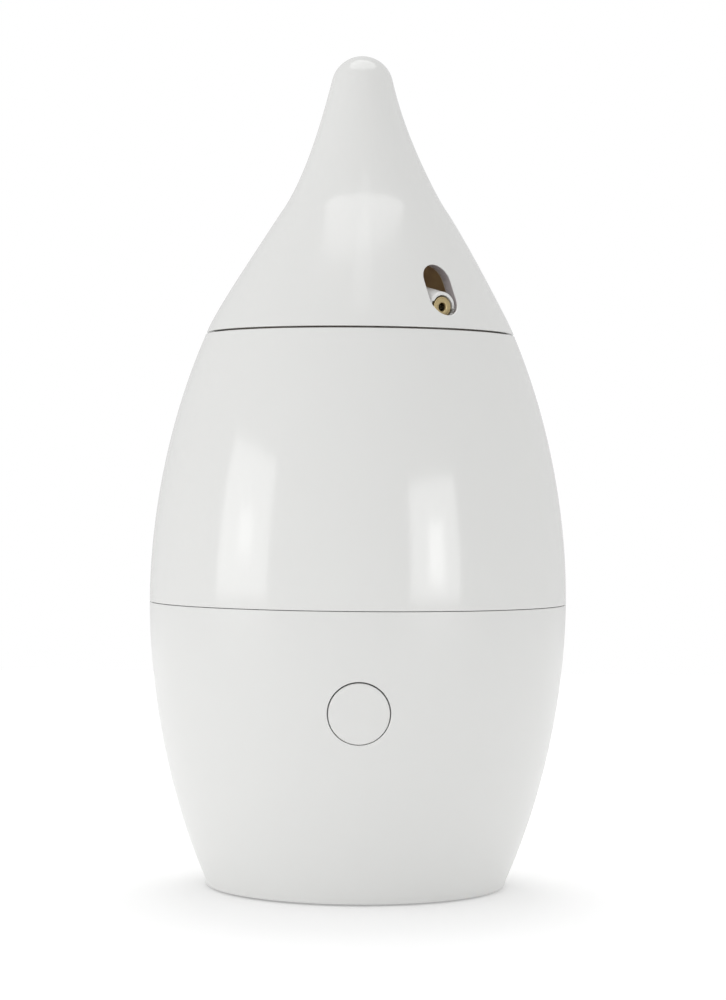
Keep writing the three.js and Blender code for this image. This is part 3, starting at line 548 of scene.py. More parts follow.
def frosted_plastic():
    material, tree, shader, where = new_material("frosted_polypropylene")
    fine = noise(tree, where, 900, 3)
    body = mix_colours(tree, noise(tree, where, 40, 4), (0.70, 0.76, 0.79), (0.80, 0.84, 0.86))
    rough = spread(tree, fine, 0.32, 0.5)
    dress(tree, shader, body, rough, fine, 0.15, 0.0002, Transmission_Weight=0.2, IOR=1.49)
    return material


def circuit_card():
    material, tree, shader, where = new_material("green_circuit_board")
    bricks = {"Vector": where, "Scale": 260.0, "Mortar Size": 0.04, "Bias": -0.4}
    traces = node(tree, "ShaderNodeTexBrick", bricks, offset=0.35, squash=1.6).outputs["Fac"]
    body = mix_colours(tree, traces, (0.008, 0.10, 0.035), (0.02, 0.21, 0.08))
    gloss = spread(tree, noise(tree, where, 1500, 2), 0.25, 0.4)
    dress(tree, shader, body, gloss, traces, 0.3, 0.00005, Coat_Weight=0.3)
    return material


def inside_with_painted_glow():
    """The inside of the cover, in a darker warm brown that paints its shade, with a painted glow: emission
    stands in for the daylight that seeps through the wall.
    """
    material, tree, shader, where = new_material("cover_inside_painted_glow")
    cloud = spread(tree, noise(tree, where, 160, 4), 0, 1, 0.35, 0.65)
    fine = noise(tree, where, 700, 3)
    # A darker warm brown than the white plastic: painted shade of the dim inside.
    body = mix_colours(tree, cloud, (0.50, 0.44, 0.36), (0.60, 0.53, 0.44))
    # Painted glow: warm emission that stands in for light coming through the wall.
    glow = mix_colours(tree, cloud, (0.030, 0.019, 0.012), (0.052, 0.036, 0.016))
    tree.links.new(glow, shader.inputs["Emission Color"])
    tree.links.new(body, shader.inputs["Base Color"])
    tree.links.new(spread(tree, fine, 0.45, 0.6), shader.inputs["Roughness"])
    shader.inputs["Emission Strength"].default_value = 1.0
    return material


SHELL_WHITE = (0.80, 0.802, 0.788)
# A grey for the lining of the cover's slot, darker than the white plastic that the wall is made of: painted
# shade.
slot_painted_shade = moulded("slot_wall_painted_shade", (0.40, 0.365, 0.37), 0.45)
painted_cover_inside = inside_with_painted_glow()
satin_white = moulded("satin_white_plastic", scaled(SHELL_WHITE, 0.98), 0.3, gloss_spread=0.015)
pale_brass = metal("nozzle_brass", (0.45, 0.36, 0.195), 0.36, grain=1600, bump=0.15)
motor_steel = metal("rolled_steel", (0.50, 0.51, 0.52), 0.28, (0.15, 0.15, 3))
spring_steel = metal("spring_steel", (0.42, 0.42, 0.43), 0.25)

# The usual look of each of the record's material slots.
LOOKS = {
    "glossy_shell": moulded("glossy_white_plastic", SHELL_WHITE, 0.12, gloss_spread=0.02),
    "satin_shell": satin_white,
    "inner_white": moulded("inner_white_plastic", (0.72, 0.71, 0.69), 0.5),
    "clear_vessel": frosted_plastic(),
    "silicone": soft("clear_silicone", (0.70, 0.70, 0.66), 0.55, grain=500, bump=0.08),
    "foot_rubber": soft("black_rubber", (0.022, 0.022, 0.022), 0.8),
    "filter_foam": soft("filter_foam", (0.045, 0.045, 0.048), 0.95, grain=1100, bump=0.9, sheen=0.3),
    "black_plastic": moulded("black_plastic", (0.018, 0.018, 0.02), 0.42, grain=2200, bump=0.25, tint=0.15),
    "circuit_board": circuit_card(),
    "red_lead": soft("red_insulation", (0.36, 0.012, 0.01), 0.45, grain=400, bump=0.05),
    "black_lead": soft("black_insulation", (0.012, 0.012, 0.012), 0.45, grain=400, bump=0.05),
    "brass": metal("turned_brass", (0.66, 0.47, 0.21), 0.3, grain=1600, bump=0.15),
    "screw_steel": metal("zinc_plated_steel", (0.56, 0.57, 0.58), 0.32, (1, 1, 8)),
    "motor_steel": motor_steel,
}


def give(obj, slot, body, *nodes, look=None):
    """Gives a piece the look given, or else its slot's usual material, unless it has one already; attaches it
    to the body it rides on and hides the CAD nodes it stands for.
    """
    if not obj.data.materials:
        obj.data.materials.append(look or LOOKS[slot])
    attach(obj, body)
    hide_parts(*nodes)
    return obj


# -------- head: cover


def lean(z):
    """The cone isn't quite straight: it bows towards +X by up to a millimetre half way up."""
    low, high, bow = COVER_BOTTOM, HEIGHT - TIP_RADIUS, 1.0
    if not low < z < high:
        return 0
    return bow * math.sin(math.pi * (z - low) / (high - low)) ** 2


def cover_lid(outer_end, inner_end):
    """The closed tip of the cover, outside and inside."""
    start, apex = outer_end[1], HEIGHT - TIP_RADIUS
    outer = [p for n, p in enumerate(DENSE) if p[1] > start + 0.5 and n % 4 == 0 and p[0] > 0.2]
    inner = [(0, apex), (2, apex - 0.25), (4.2, apex - 1.3), (5.9, apex - 3)]
    return outer + [(0, HEIGHT)] + inner


def slot_inner_reach(across, up):
    """Inside the wall the slot is relieved round the jet's horn, below its middle."""
    plain = SLOT_HOLE.reach(across, up)
    centre = JET_HEIGHT - SLOT_HOLE.height
    relief = 4.65
    inside = relief ** 2 - (centre * across) ** 2
    if inside <= 0 or up > 0:
        return plain
    return max(plain, centre * up + math.sqrt(inside))


SLOT_MIDDLE = (SLOT_BOTTOM + SLOT_TOP) / 2
SLOT_STRAIGHT = SLOT_TOP - SLOT_MIDDLE - SLOT_RADIUS
SLOT_HOLE = Hole(JET_ANGLE, SLOT_MIDDLE, SLOT_RADIUS, SLOT_STRAIGHT, edge=0.35, block=1.35)
SLOT_HOLE.inner = slot_inner_reach

cover = shell("cover_skin", COVER_BOTTOM, 226, COVER_WALL, [SLOT_HOLE], bend=lean, lid=cover_lid)
give(cover, "glossy_shell", "head", "top_cover")
# The slot's lining takes the grey of painted shade.
cover.data.materials.append(slot_painted_shade)
# The cover's inside takes the brown of painted shade, with a painted glow.
cover.data.materials.append(painted_cover_inside)

# -------- tank and base shells

tank_skin = shell("tank_skin", TANK_BOTTOM, TANK_TOP, TANK_WALL)
give(tank_skin, "glossy_shell", "tank", "middle_shell")


def foot_relief(z):
    """The base's wall gets thinner towards its foot, so that the bottom plate fits inside it."""
    return 0.75 * max(0, 1 - (z - BASE_BOTTOM) / 4)


BUTTON_HOLE = Hole(FRONT, BUTTON_HEIGHT, BUTTON_RADIUS + BUTTON_GAP, edge=0.2, block=1.5)
JACK_HOLE = Hole(-FRONT, middle("dc_jack").z, 4.8, edge=0.3, block=1.5)
base_skin = shell("base_skin", BASE_BOTTOM, BASE_TOP, BASE_WALL, [BUTTON_HOLE, JACK_HOLE], relief=foot_relief)
give(base_skin, "satin_shell", "base", "base_shell")

# Each shell's second material lines its holes, and the third covers its inside.
for skin, slot in ((tank_skin, "glossy_shell"), (base_skin, "satin_shell")):
    skin.data.materials.append(LOOKS[slot])
    skin.data.materials.append(LOOKS["inner_white"])


def make_button():
    """The button's face follows the shell, inside its hole; a flange and a stem stand behind it."""
    bm = bmesh.new()
    radius, edge, skirt, sunk, drop = BUTTON_RADIUS, 0.38, 3.6, 0.12, 0.11
    count = 96
    rings = []
    steps = [(radius * k / 12, 0) for k in range(1, 12)]
    steps += [(radius - edge + edge * math.sin(t), edge * (1 - math.cos(t))) for t in EDGE_TURNS]
    steps += [(radius, skirt - 0.4), (radius - 0.4, skirt), (radius * 0.5, skirt)]
    for size, depth in steps:
        ring = []
        for n in range(count):
            angle = TAU * n / count
            across, up = size * math.cos(angle), size * math.sin(angle)
            ring.append(bm.verts.new(BUTTON_HOLE.point(OUTSIDE, across, up - drop, depth + sunk)))
        rings.append(ring)
    front = bm.verts.new(BUTTON_HOLE.point(OUTSIDE, 0, -drop, sunk))
    back = bm.verts.new(BUTTON_HOLE.point(OUTSIDE, 0, 0, skirt))
    for n in range(count):
        m = (n + 1) % count
        bm.faces.new((front, rings[0][n], rings[0][m]))
        bm.faces.new((back, rings[-1][m], rings[-1][n]))
        for near, far in zip(rings, rings[1:]):
            bm.faces.new((near[n], near[m], far[m], far[n]))
    stem_end = -span("power_button")[1].y
    stem = fillet([(0, stem_end), (1.8, stem_end, 0.3), (1.8, 51.5), (9.6, 51.5, 0.3), (9.6, 52.7, 0.3),
                   (7.2, 52.7), (7.2, 54.3), (0, 54.3)], closed=False)
    add_revolved(bm, stem, 64, False, Matrix.Translation((0, 0, BUTTON_HEIGHT)) @ ALONG_Y)
    return finish_mesh("button_cap", bm)


give(make_button(), "satin_shell", "button", "power_button")

# -------- shared small parts


def at(x=0.0, y=0.0, z=0.0):
    return Matrix.Translation((x, y, z))


def on_circle(radius, angle, z=0.0):
    heading = math.radians(angle)
    return at(radius * math.cos(heading), radius * math.sin(heading), z)


def rounded(name, corners, segments=96, matrix=None, closed=True):
    """A piece whose profile, with its corners rounded, is turned round Z."""
    return revolved(name, fillet(corners, closed=closed), segments, closed, matrix)


def turned(name, corners, segments=96, matrix=None):
    """The same, for a profile that starts and ends on the axis."""
    return rounded(name, corners, segments, matrix, closed=False)


def round_tool(radius, low, high, place=None, segments=64):
    """A plain round cutter, which a boolean uses up."""
    return revolved("cutter", [(0, low), (radius, low), (radius, high), (0, high)], segments, False, place)


def round_tools(radius, low, high, circle, angles, segments=64):
    return [round_tool(radius, low, high, on_circle(circle, a), segments) for a in angles]


def box_tool(low, high, place=None, rounding=0.0):
    return boxes("cutter", (low, high, rounding, place))


def stadium(start, end, radius, steps=12):
    """The outline of a slot with round ends between two points."""
    start, end = Vector(start), Vector(end)
    heading = math.atan2(end.y - start.y, end.x - start.x)
    points = []
    for centre, first in ((end, heading - math.pi / 2), (start, heading + math.pi / 2)):
        for n in range(steps + 1):
            angle = first + math.pi * n / steps
            points.append((centre.x + radius * math.cos(angle), centre.y + radius * math.sin(angle)))
    return points


def prism(name, outline, low, high, matrix=None):
    """A prism over a flat outline of (x, y) points, from one height to another."""
    matrix = matrix or Matrix.Identity(4)
    bm = bmesh.new()
    floor = [bm.verts.new(matrix @ Vector((x, y, low))) for x, y in outline]
    roof = [bm.verts.new(matrix @ Vector((x, y, high))) for x, y in outline]
    bm.faces.new(floor[::-1])
    bm.faces.new(roof)
    for n in range(len(outline)):
        m = (n + 1) % len(outline)
        bm.faces.new((floor[n], floor[m], roof[m], roof[n]))
    return finish_mesh(name, bm)


def boxes(name, *shapes):
    """One piece made of separate rounded boxes, each (low, high, rounding) or with a matrix."""
    bm = bmesh.new()
    for shape in shapes:
        add_box(bm, *shape)
    return finish_mesh(name, bm)


def route(points, steps=14):
    """Dense points along a smooth curve through a few points (centripetal Catmull-Rom)."""
    knots = [Vector(p) for p in points]
    knots = [2 * knots[0] - knots[1], *knots, 2 * knots[-1] - knots[-2]]
    dense = []
    for a, b, c, d in zip(knots, knots[1:], knots[2:], knots[3:]):
        t1 = (b - a).length ** 0.5
        t2 = t1 + (c - b).length ** 0.5
        t3 = t2 + (d - c).length ** 0.5
        for n in range(steps):
            t = t1 + (t2 - t1) * n / steps
            first = a.lerp(b, t / t1)
            second = b.lerp(c, (t - t1) / (t2 - t1))
            third = c.lerp(d, (t - t2) / (t3 - t2))
            left = first.lerp(second, t / t2)
            right = second.lerp(third, (t - t1) / (t3 - t1))
            dense.append(left.lerp(right, (t - t1) / (t2 - t1)))
    dense.append(knots[-2])
    return dense


def tube(name, path, radius, bore=0.0, segments=20):
    """A round bar or tube along a path, with its sections kept from twisting."""
    bm = bmesh.new()
    tangents = []
    for n in range(len(path)):
        ahead, behind = path[min(n + 1, len(path) - 1)], path[max(n - 1, 0)]
        tangents.append((ahead - behind).normalized())
    across = tangents[0].orthogonal().normalized()
    outer, inner = [], []
    for point, tangent in zip(path, tangents):
        across = (across - tangent * across.dot(tangent)).normalized()
        up = tangent.cross(across)
        for rows, size in ((outer, radius), (inner, bore)):
            if size:
                rows.append([
                    bm.verts.new(point + size * (across * math.cos(a) + up * math.sin(a)))
                    for a in (TAU * k / segments for k in range(segments))
                ])
    strips = list(zip(outer, outer[1:])) + list(zip(inner, inner[1:]))
    if bore:
        strips += [(outer[0], inner[0]), (outer[-1], inner[-1])]
    else:
        bm.faces.new(outer[0])
        bm.faces.new(outer[-1])
    for low, high in strips:
        for k in range(segments):
            m = (k + 1) % segments
            bm.faces.new((low[k], low[m], high[m], high[k]))
    return finish_mesh(name, bm)


def screw_mesh(name, length, shank, head, head_height, pitch=0.9):
    """A pan-head screw with its head's underside at 0, a cross recess and a real helical thread."""
    core = shank * 0.74
    lift = head_height
    rows = fillet(
        [(0, lift), (head * 0.62, lift, 0.5), (head, lift * 0.4, 0.35), (head, 0, 0.12), (core, 0)],
        closed=False,
    )
    per_turn = 6
    count = round((length - 0.4) / pitch * per_turn)

    def thread(z):
        taper = min(1.0, (length + z) / (2.2 * shank) + 0.25)
        crest = (shank - core) * min(1.0, -z / pitch)

        def radius(angle):
            phase = (z / pitch - angle / TAU) % 1
            return taper * (core + crest * max(0.0, 1 - abs(phase - 0.5) * 3.2))
        return radius

    for n in range(1, count + 1):
        z = -0.2 - (length - 0.4) * n / count
        rows.append((thread(z), z))
    screw = revolved(name, [*rows, (0, -length)], 24, False)
    deep = lift - head_height * 0.55
    half = head * 0.12
    arms = [box_tool((-head * 0.5, -half, deep), (head * 0.5, half, lift + 1), turned_by(a)) for a in (0, 90)]
    return subtract(screw, *arms)


def copies(first, piece, node_name, slot, body, places):
    """Sets the same mesh down at several places, in millimetres, each for its own CAD node."""
    made = [first, *[link(first.copy()) for _ in places[1:]]]
    for n, (obj, matrix) in enumerate(zip(made, places), 1):
        obj.name = f"{piece}_{n}"
        obj.matrix_world = Matrix.Translation(matrix.translation * MM) @ matrix.to_3x3().to_4x4()
        give(obj, slot, body, f"{node_name}_{n}")


UPSIDE_DOWN = Matrix.Rotation(math.pi, 4, "X")

# -------- head: jet

JET_REACH = 40
JET_TIP_RADIUS = 4.2
HORN_START = 10
HORN_START_RADIUS = JET_TIP_RADIUS + math.tan(math.radians(12.6)) * (JET_REACH - HORN_START)
HUB_BOTTOM = bottom("nozzle_block")
ON_JET = TO_JET @ at(z=JET_HEIGHT) @ ALONG_X
ON_DIP_TUBE = TO_JET @ at(x=22)


def make_horn():
    """The hub that turns on the collar, and the horn that carries the brass nozzle to the slot."""
    horn = rounded("jet_horn", [
        (2.1, HORN_START), (HORN_START_RADIUS, HORN_START, 0.6), (JET_TIP_RADIUS, JET_REACH, 0.35),
        (3.34, JET_REACH, 0.12), (3.34, 33.8, 0.1), (2.1, 33.8, 0.1),
    ], 112, ON_JET)
    unite(horn, turned("hub", [(0, HUB_BOTTOM), (11, HUB_BOTTOM, 0.3), (11, 173.5, 0.9), (0, 173.5)], 112))
    return subtract(
        horn,
        box_tool((-60, -60, 140), (60, 60, HUB_BOTTOM)),
        round_tool(7.6, 150, 165.2),
        round_tool(2.1, 0, HORN_START + 1, ON_JET),
        round_tool(2.0, 150, 164.8, ON_DIP_TUBE),
        box_tool((-0.65, -3.85, 37.7), (0.65, 3.85, 41), ON_JET @ turned_by(-16), 0.1),
    )


give(make_horn(), "glossy_shell", "head", "nozzle_block", look=satin_white)

nozzle = rounded("brass_jet_nozzle", [
    (2.1, 34.1), (3.1, 34.1, 0.15), (3.1, 38.2, 0.1), (2.94, 38.5, 0.1), (2.94, 39.85, 0.24),
    (2.5, 39.85, 0.05), (2.45, 39.78, 0.03), (2.37, 39.85, 0.05), (1.3, 39.85, 0.18),
    (1.05, 39.45, 0.1), (1.05, 37.3), (2.1, 37.3),
], 96, ON_JET)
give(nozzle, "brass", "head", "brass_nozzle", look=pale_brass)

liquid = rounded("liquid_jet_pipe", [
    (0.5, 26.6), (1.1, 26.6, 0.1), (1.1, 35.3), (0.85, 36.5, 0.1), (0.5, 36.5),
], 48, ON_JET)
give(liquid, "screw_steel", "head", "liquid_jet")

low, high = bottom("dip_tube"), top("dip_tube")
dip = rounded(
    "dip_pipe", [(1.0, low, 0.1), (1.7, low, 0.15), (1.7, high, 0.15), (1.0, high, 0.1)], 48, ON_DIP_TUBE,
)
give(dip, "silicone", "head", "dip_tube")


def make_strainer():
    """A foot with fine ribs round it, which the dip tube stands in."""
    low, high = bottom("inlet_strainer"), top("inlet_strainer")
    ribs = [(3.4, low, 0.2), (4.0, low + 0.6, 0.15)]
    for n in range(8):
        z = low + 1.1 + 0.78 * n
        ribs += [(4.0, z), (3.55, z + 0.1), (3.55, z + 0.38), (4.0, z + 0.48)]
    ribs += [(4.0, high - 0.6, 0.15), (3.4, high, 0.2), (2.0, high, 0.1), (2.0, 92.5), (0, 92.5)]
    return turned("strainer_foot", [(0, low)] + ribs, 64, ON_DIP_TUBE)


give(make_strainer(), "filter_foam", "head", "inlet_strainer")

# -------- head: deck and screws

COVER_BOSS_CIRCLE = 32.5
COVER_BOSS_ANGLES = [JET_ANGLE + a for a in (66, 186, 306)]

# The plate that closes the cover from below, with a skirt that sits in the vessel's mouth.
head_deck = rounded("head_plate", [
    (7.5, 158.3, 0.2), (10.5, 158.3), (10.9, 157.6, 0.2), (12.2, 157.6, 0.2), (12.6, 158.3),
    (36.8, 158.3, 0.5), (36.8, 150, 0.3), (38.4, 150, 0.6), (38.4, 158.3, 0.3), (39.5, 158.3, 0.2),
    (39.5, 161, 0.4), (7.5, 161, 0.2),
], 128)
subtract(
    head_deck,
    box_tool((-9.8, -1.7, 150), (9.8, 1.7, 165)),
    round_tool(2.1, 150, 165, on_circle(22, JET_ANGLE)),
    *round_tools(1.75, 150, 165, COVER_BOSS_CIRCLE, COVER_BOSS_ANGLES),
    *round_tools(1.6, 150, 165, 26, [JET_ANGLE + a for a in (110, 150, 250)]),
)
give(head_deck, "inner_white", "head", "head_deck")

places = [on_circle(COVER_BOSS_CIRCLE, a, 158.0) @ UPSIDE_DOWN for a in COVER_BOSS_ANGLES]
cover_screw = screw_mesh("cover_fixing", 9, 1.1, 2.5, 1.6, 0.8)
copies(cover_screw, "cover_fixing", "cover_screw", "screw_steel", "head", places)


def make_cover_bosses():
    """The three posts inside the cover that the deck's screws go into."""
    inside = Surface(COVER_WALL - 0.4)
    bosses = unite(*round_tools(3.2, 161.3, 175.8, COVER_BOSS_CIRCLE, COVER_BOSS_ANGLES, 48))
    rows = [(inside.radius(z), z) for z in range(160, 178)]
    combine(bosses, "INTERSECT", revolved("cutter", [(0, 160), *rows, (0, 177)], 128, False))
    bosses.name = "cover_bosses"
    return subtract(bosses, *round_tools(1.4, 160, 171, COVER_BOSS_CIRCLE, COVER_BOSS_ANGLES, 32))


give(make_cover_bosses(), "glossy_shell", "head", "top_cover")

# -------- swivel collar

collar = rounded("swivel_sleeve", [
    (4.3, 157, 0.25), (7, 157, 0.4), (7, 162, 0.15), (6, 162), (6, 164), (7, 164, 0.15), (7, 164.6, 0.2),
    (4.3, 164.6, 0.25),
])
unite(collar, box_tool((-9.2, -1.3, 157), (9.2, 1.3, 160.8), None, 0.35))
subtract(collar, round_tool(4.3, 150, 170))
give(collar, "black_plastic", "collar", "swivel_collar")


def seal(name, inner, outer, low, high):
    """A rubber ring of round section."""
    across, up = (outer - inner) / 2, (high - low) / 2
    turns = [TAU * n / 20 for n in range(20)]
    section = [(inner + across + across * math.cos(a), low + up + up * math.sin(a)) for a in turns]
    return revolved(name, section, 80)


give(seal("collar_ring", 6.2, 7.4, 162.2, 163.8), "silicone", "collar", "collar_seal")

# -------- tank: vessel and riser


def make_vessel():
    """The translucent tub for the water, with a column in its middle for the air."""
    outer, inner = Surface(TANK_WALL + 1.2), Surface(TANK_WALL + 1.2 + 1.8)
    low, rim = 85.2, 156
    climb = [(outer.radius(z), z) for z in [85 + 3.6 * n for n in range(20)]]
    fall = [(inner.radius(z), z) for z in [88.5 + 3.4 * n for n in range(20)]][::-1]
    corners = [
        (6.6, 83, 0.5), (54, 83, 0.4), (54, 79.4, 0.3), (56.4, 79.4, 0.5), (56.4, 83, 0.3),
        *climb, (outer.radius(rim), rim, 0.5), (inner.radius(rim), rim, 0.5), *fall,
        (50, low, 2.5), (30, low), (29.4, low + 0.5, 0.2), (27.6, low + 0.5, 0.2), (27, low),
        (9.6, low, 1.2), (9.6, 100, 0.8), (8, 103, 0.8), (8, 152, 0.4), (4.4, 152, 0.4), (4.4, 97, 0.2),
        (6.6, 97, 0.4),
    ]
    return revolved("water_vessel", fillet(corners, 5), 144)


give(make_vessel(), "clear_vessel", "tank", "tank_vessel")

riser = rounded("riser_pipe", [(2.4, 97.4, 0.2), (4, 97.4, 0.3), (4, 162, 0.4), (2.4, 162, 0.3)], 64)
give(riser, "motor_steel", "tank", "riser_tube")


def make_riser_nut():
    """A hexagonal lock nut with its corners turned off."""
    low, high = bottom("riser_nut"), top("riser_nut")
    corner = 7.6
    flats = [(corner * math.cos(TAU * n / 6), corner * math.sin(TAU * n / 6)) for n in range(6)]
    nut = prism("riser_lock_nut", flats, low, high)
    flat, full = corner * 0.88, corner * 1.02
    chamfer = [(0, low), (flat, low), (full, low + 0.7), (full, high - 0.7), (flat, high), (0, high)]
    combine(nut, "INTERSECT", revolved("cutter", chamfer, 96, False))
    return subtract(nut, round_tool(4.3, low - 1, high + 1))


give(make_riser_nut(), "brass", "tank", "riser_nut")

low, high = bottom("rim_gasket"), top("rim_gasket")
gasket = rounded("tank_gasket", [
    (39.6, low, 0.3), (41.2, low, 0.3), (41.2, low + 0.6, 0.15), (40.9, low + 0.85, 0.1),
    (41.2, low + 1.1, 0.15), (41.2, high, 0.3), (39.6, high, 0.3),
], 144)
give(gasket, "silicone", "tank", "rim_gasket")

# -------- base: deck and spigot

DECK_BOSS_CIRCLE = 50.4
DECK_BOSS_ANGLES = [90, 210, 330]

# The plate over the pump, with the air spigot that the tank drops on to.
deck = rounded("deck_plate", [
    (0.9, 66, 0.1), (1.35, 66, 0.1), (1.7, 66.8, 0.1), (1.4, 68.6), (1.7, 68.8, 0.1), (1.4, 71),
    (3.4, 71, 0.3), (3.4, 76.3, 0.6), (57.2, 76.3, 0.3), (57.2, 78.6, 0.4), (14.6, 78.6, 0.4),
    (14.6, 82.6, 0.3), (13, 82.6, 0.3), (13, 78.6, 0.4), (5.4, 78.6, 0.6), (5.4, 87, 0.1), (4.3, 87),
    (4.3, 89.4), (5.4, 89.4, 0.1), (5.4, 91, 0.2), (4.4, 92, 0.3), (2.6, 92, 0.2), (2.6, 72), (0.9, 72),
], 144)
subtract(deck, *round_tools(1.75, 70, 82, DECK_BOSS_CIRCLE, DECK_BOSS_ANGLES))
give(deck, "inner_white", "base", "base_deck")
give(seal("spigot_ring", 4.5, 6.4, 87.2, 89.2), "silicone", "base", "spigot_seal")

places = [on_circle(DECK_BOSS_CIRCLE, a, 78.9) for a in DECK_BOSS_ANGLES]
deck_screw = screw_mesh("deck_fixing", 11, 1.35, 2.8, 1.8)
copies(deck_screw, "deck_fixing", "deck_screw", "screw_steel", "base", places)

# -------- base: plate, feet and bosses

PLATE_BOSS_CIRCLE = 36.5
PLATE_BOSS_ANGLES = [45, 135, 225, 315]
FOOT_CIRCLE = 33


def make_plate():
    """The plate that closes the base from below, inside the shell's foot."""
    plate = turned("bottom_plate", [
        (0, 1.3), (20, 1.3), (20.3, 1.0, 0.1), (21.2, 1.0, 0.1), (21.5, 1.3), (38.5, 1.3, 0.3),
        (38.5, 0.7, 0.2), (41.2, 0.7, 0.25), (41.2, 2.6, 0.1), (40.8, 3, 0.1), (0, 3),
    ], 160)
    cutters = []
    for angle in PLATE_BOSS_ANGLES:
        cutters.append(round_tool(3.2, -1, 1.6, on_circle(PLATE_BOSS_CIRCLE, angle)))
        cutters.append(round_tool(1.75, 0, 5, on_circle(PLATE_BOSS_CIRCLE, angle)))
    for n in range(5):
        y = -6.2 + 5.6 * n
        cutters.append(prism("cutter", stadium((6.1, y), (23.9, y), 1.1), -1, 5))
    return subtract(plate, *cutters)


give(make_plate(), "satin_shell", "base", "base_plate")

foot = turned("pad", [
    (0, 0.15), (2.9, 0.15, 0.1), (3.1, 0, 0.1), (4.7, 0, 0.25), (5, 0.35, 0.15), (5, 1.0), (0, 1.0),
], 64)
places = [on_circle(FOOT_CIRCLE, a) for a in (0, 90, 180, 270)]
copies(foot, "foot_pad", "foot", "foot_rubber", "base", places)

places = [on_circle(PLATE_BOSS_CIRCLE, a, 1.3) @ UPSIDE_DOWN for a in PLATE_BOSS_ANGLES]
plate_screw = screw_mesh("plate_fixing", 9, 1.35, 2.7, 0.9)
copies(plate_screw, "plate_fixing", "plate_screw", "screw_steel", "base", places)


def post_with_rib(circle, angle, low, high, bore_top):
    """A bored post on a circle, tied to the wall by a rib that follows the wall."""
    inside = Surface(BASE_WALL)
    count = 10
    heights = [low + (high - low) * n / count for n in range(count + 1)]
    side = [(circle, low)] + [(inside.radius(z) + 0.8, z) for z in heights] + [(circle, high)]
    place = on_circle(circle, angle)
    post = round_tool(3.6, low, high, place, 40)
    unite(post, prism("rib", side, -1.4, 1.4, turned_by(angle) @ ALONG_Y))
    return subtract(post, round_tool(1.75, low - 1, bore_top, place, 32))


def make_bosses():
    """The posts for the screws and the ledge for the deck, inside the base's wall."""
    wall = Surface(BASE_WALL).radius(75) + 0.8
    bosses = rounded("base_bosses", [(54, 74.5, 0.3), (wall, 74.5), (wall, 76), (54, 76, 0.3)], 128)
    for angle in PLATE_BOSS_ANGLES:
        unite(bosses, post_with_rib(PLATE_BOSS_CIRCLE, angle, 3.3, 18, 19))
    for angle in DECK_BOSS_ANGLES:
        unite(bosses, post_with_rib(DECK_BOSS_CIRCLE, angle, 60, 75.9, 80))
    return bosses


give(make_bosses(), "satin_shell", "base", "base_shell")

# -------- base: button works

BEHIND_BUTTON = at(z=BUTTON_HEIGHT) @ ALONG_Y

# The cup that the button's flange slides in, with the hole for its stem. Distances are -Y.
guide = rounded("button_cup", [
    (2.3, 45.1, 0.1), (11.9, 45.1, 0.4), (11.9, 52.4, 0.2), (10.1, 52.4, 0.2), (10.1, 46.3, 0.3),
    (4.2, 46.3, 0.1), (4.2, 46.6, 0.1), (2.3, 46.6, 0.1),
], 96, BEHIND_BUTTON)
for angle in (45, 135, 225, 315):
    subtract(guide, box_tool((-1.5, 9, 47.5), (1.5, 13, 50), BEHIND_BUTTON @ turned_by(angle)))
give(guide, "inner_white", "base", "button_guide")


def make_spring():
    """A coil spring with its end turns closed up."""
    radius, wire, front, back, turns = 3.3, 0.35, -50.95, -47.0, 5.5
    path = []
    for n in range(int(turns * 28) + 1):
        share = n / (turns * 28)
        angle = TAU * turns * share
        eased = min(max((share - 0.12) / 0.76, 0), 1)
        y = front + (back - front) * (share * 0.12 + eased * 0.88)
        path.append(Vector((radius * math.cos(angle), y, BUTTON_HEIGHT + radius * math.sin(angle))))
    return tube("button_coil", path, wire, 0, 10)


spring = give(make_spring(), "screw_steel", "base", "button_spring", look=spring_steel)
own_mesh(spring)

# A small square push switch: a plastic body with rivets, a metal frame's legs, and its plunger.
switch = boxes("switch_body", ((-3, -44.5, -3), (3, -42.3, 3), 0.25, at(z=BUTTON_HEIGHT)))
for x in (-2.3, 2.3):
    for z in (-2.3, 2.3):
        unite(switch, round_tool(0.4, 44.3, 44.8, BEHIND_BUTTON @ at(x, z), 24))
subtract(switch, round_tool(1.9, 42, 46, BEHIND_BUTTON, 48))
give(switch, "black_plastic", "base", "tactile_switch")
switch_legs = boxes(
    "switch_legs",
    *[((x - 0.35, -44.0, BUTTON_HEIGHT + z - 0.3), (x + 0.35, -42.05, BUTTON_HEIGHT + z + 0.3), 0.08)
      for x in (-3.4, 3.4) for z in (-2.2, 2.2)],
)
give(switch_legs, "screw_steel", "base")
plunger = turned("switch_button", [
    (0, 43.6), (1.5, 43.6, 0.1), (1.5, 46.9, 0.35), (0, 46.9),
], 48, BEHIND_BUTTON)
give(plunger, "black_plastic", "button", "switch_plunger")

# -------- base: control board

BOARD_SCREWS = [(-11.5, 40), (11.5, 40)]
LEAD_ENDS = (-8, -5, 5, 8)


def board_holes():
    return [round_tool(1.2, 36, 46, at(x, 0, z) @ ALONG_Y, 32) for x, z in BOARD_SCREWS]


board = subtract(boxes("circuit_card", ((-15, -42, 36), (15, -40.4, 69), 0.2)), *board_holes())
give(board, "circuit_board", "base", "control_board")

# Chip resistors and capacitors, in rows on the board's front: x, z and whether they stand upright.
CHIPS = [
    (-9, 63, 0), (-9, 60.5, 0), (9, 62.5, 1), (11.5, 62.5, 1), (-12, 48, 1), (12, 50, 1),
    (-7, 43.5, 0), (7, 44.5, 0), (-12.4, 56, 1), (12.4, 57, 1),
]
CHIP_HALVES = {0: (1.0, 0.6), 1: (0.6, 1.0)}
chips = boxes("chip_parts", *[
    ((x - wide, -42.75, z - tall), (x + wide, -42.05, z + tall), 0.1)
    for x, z, upright in CHIPS
    for wide, tall in (CHIP_HALVES[upright],)
])
give(chips, "black_plastic", "base")


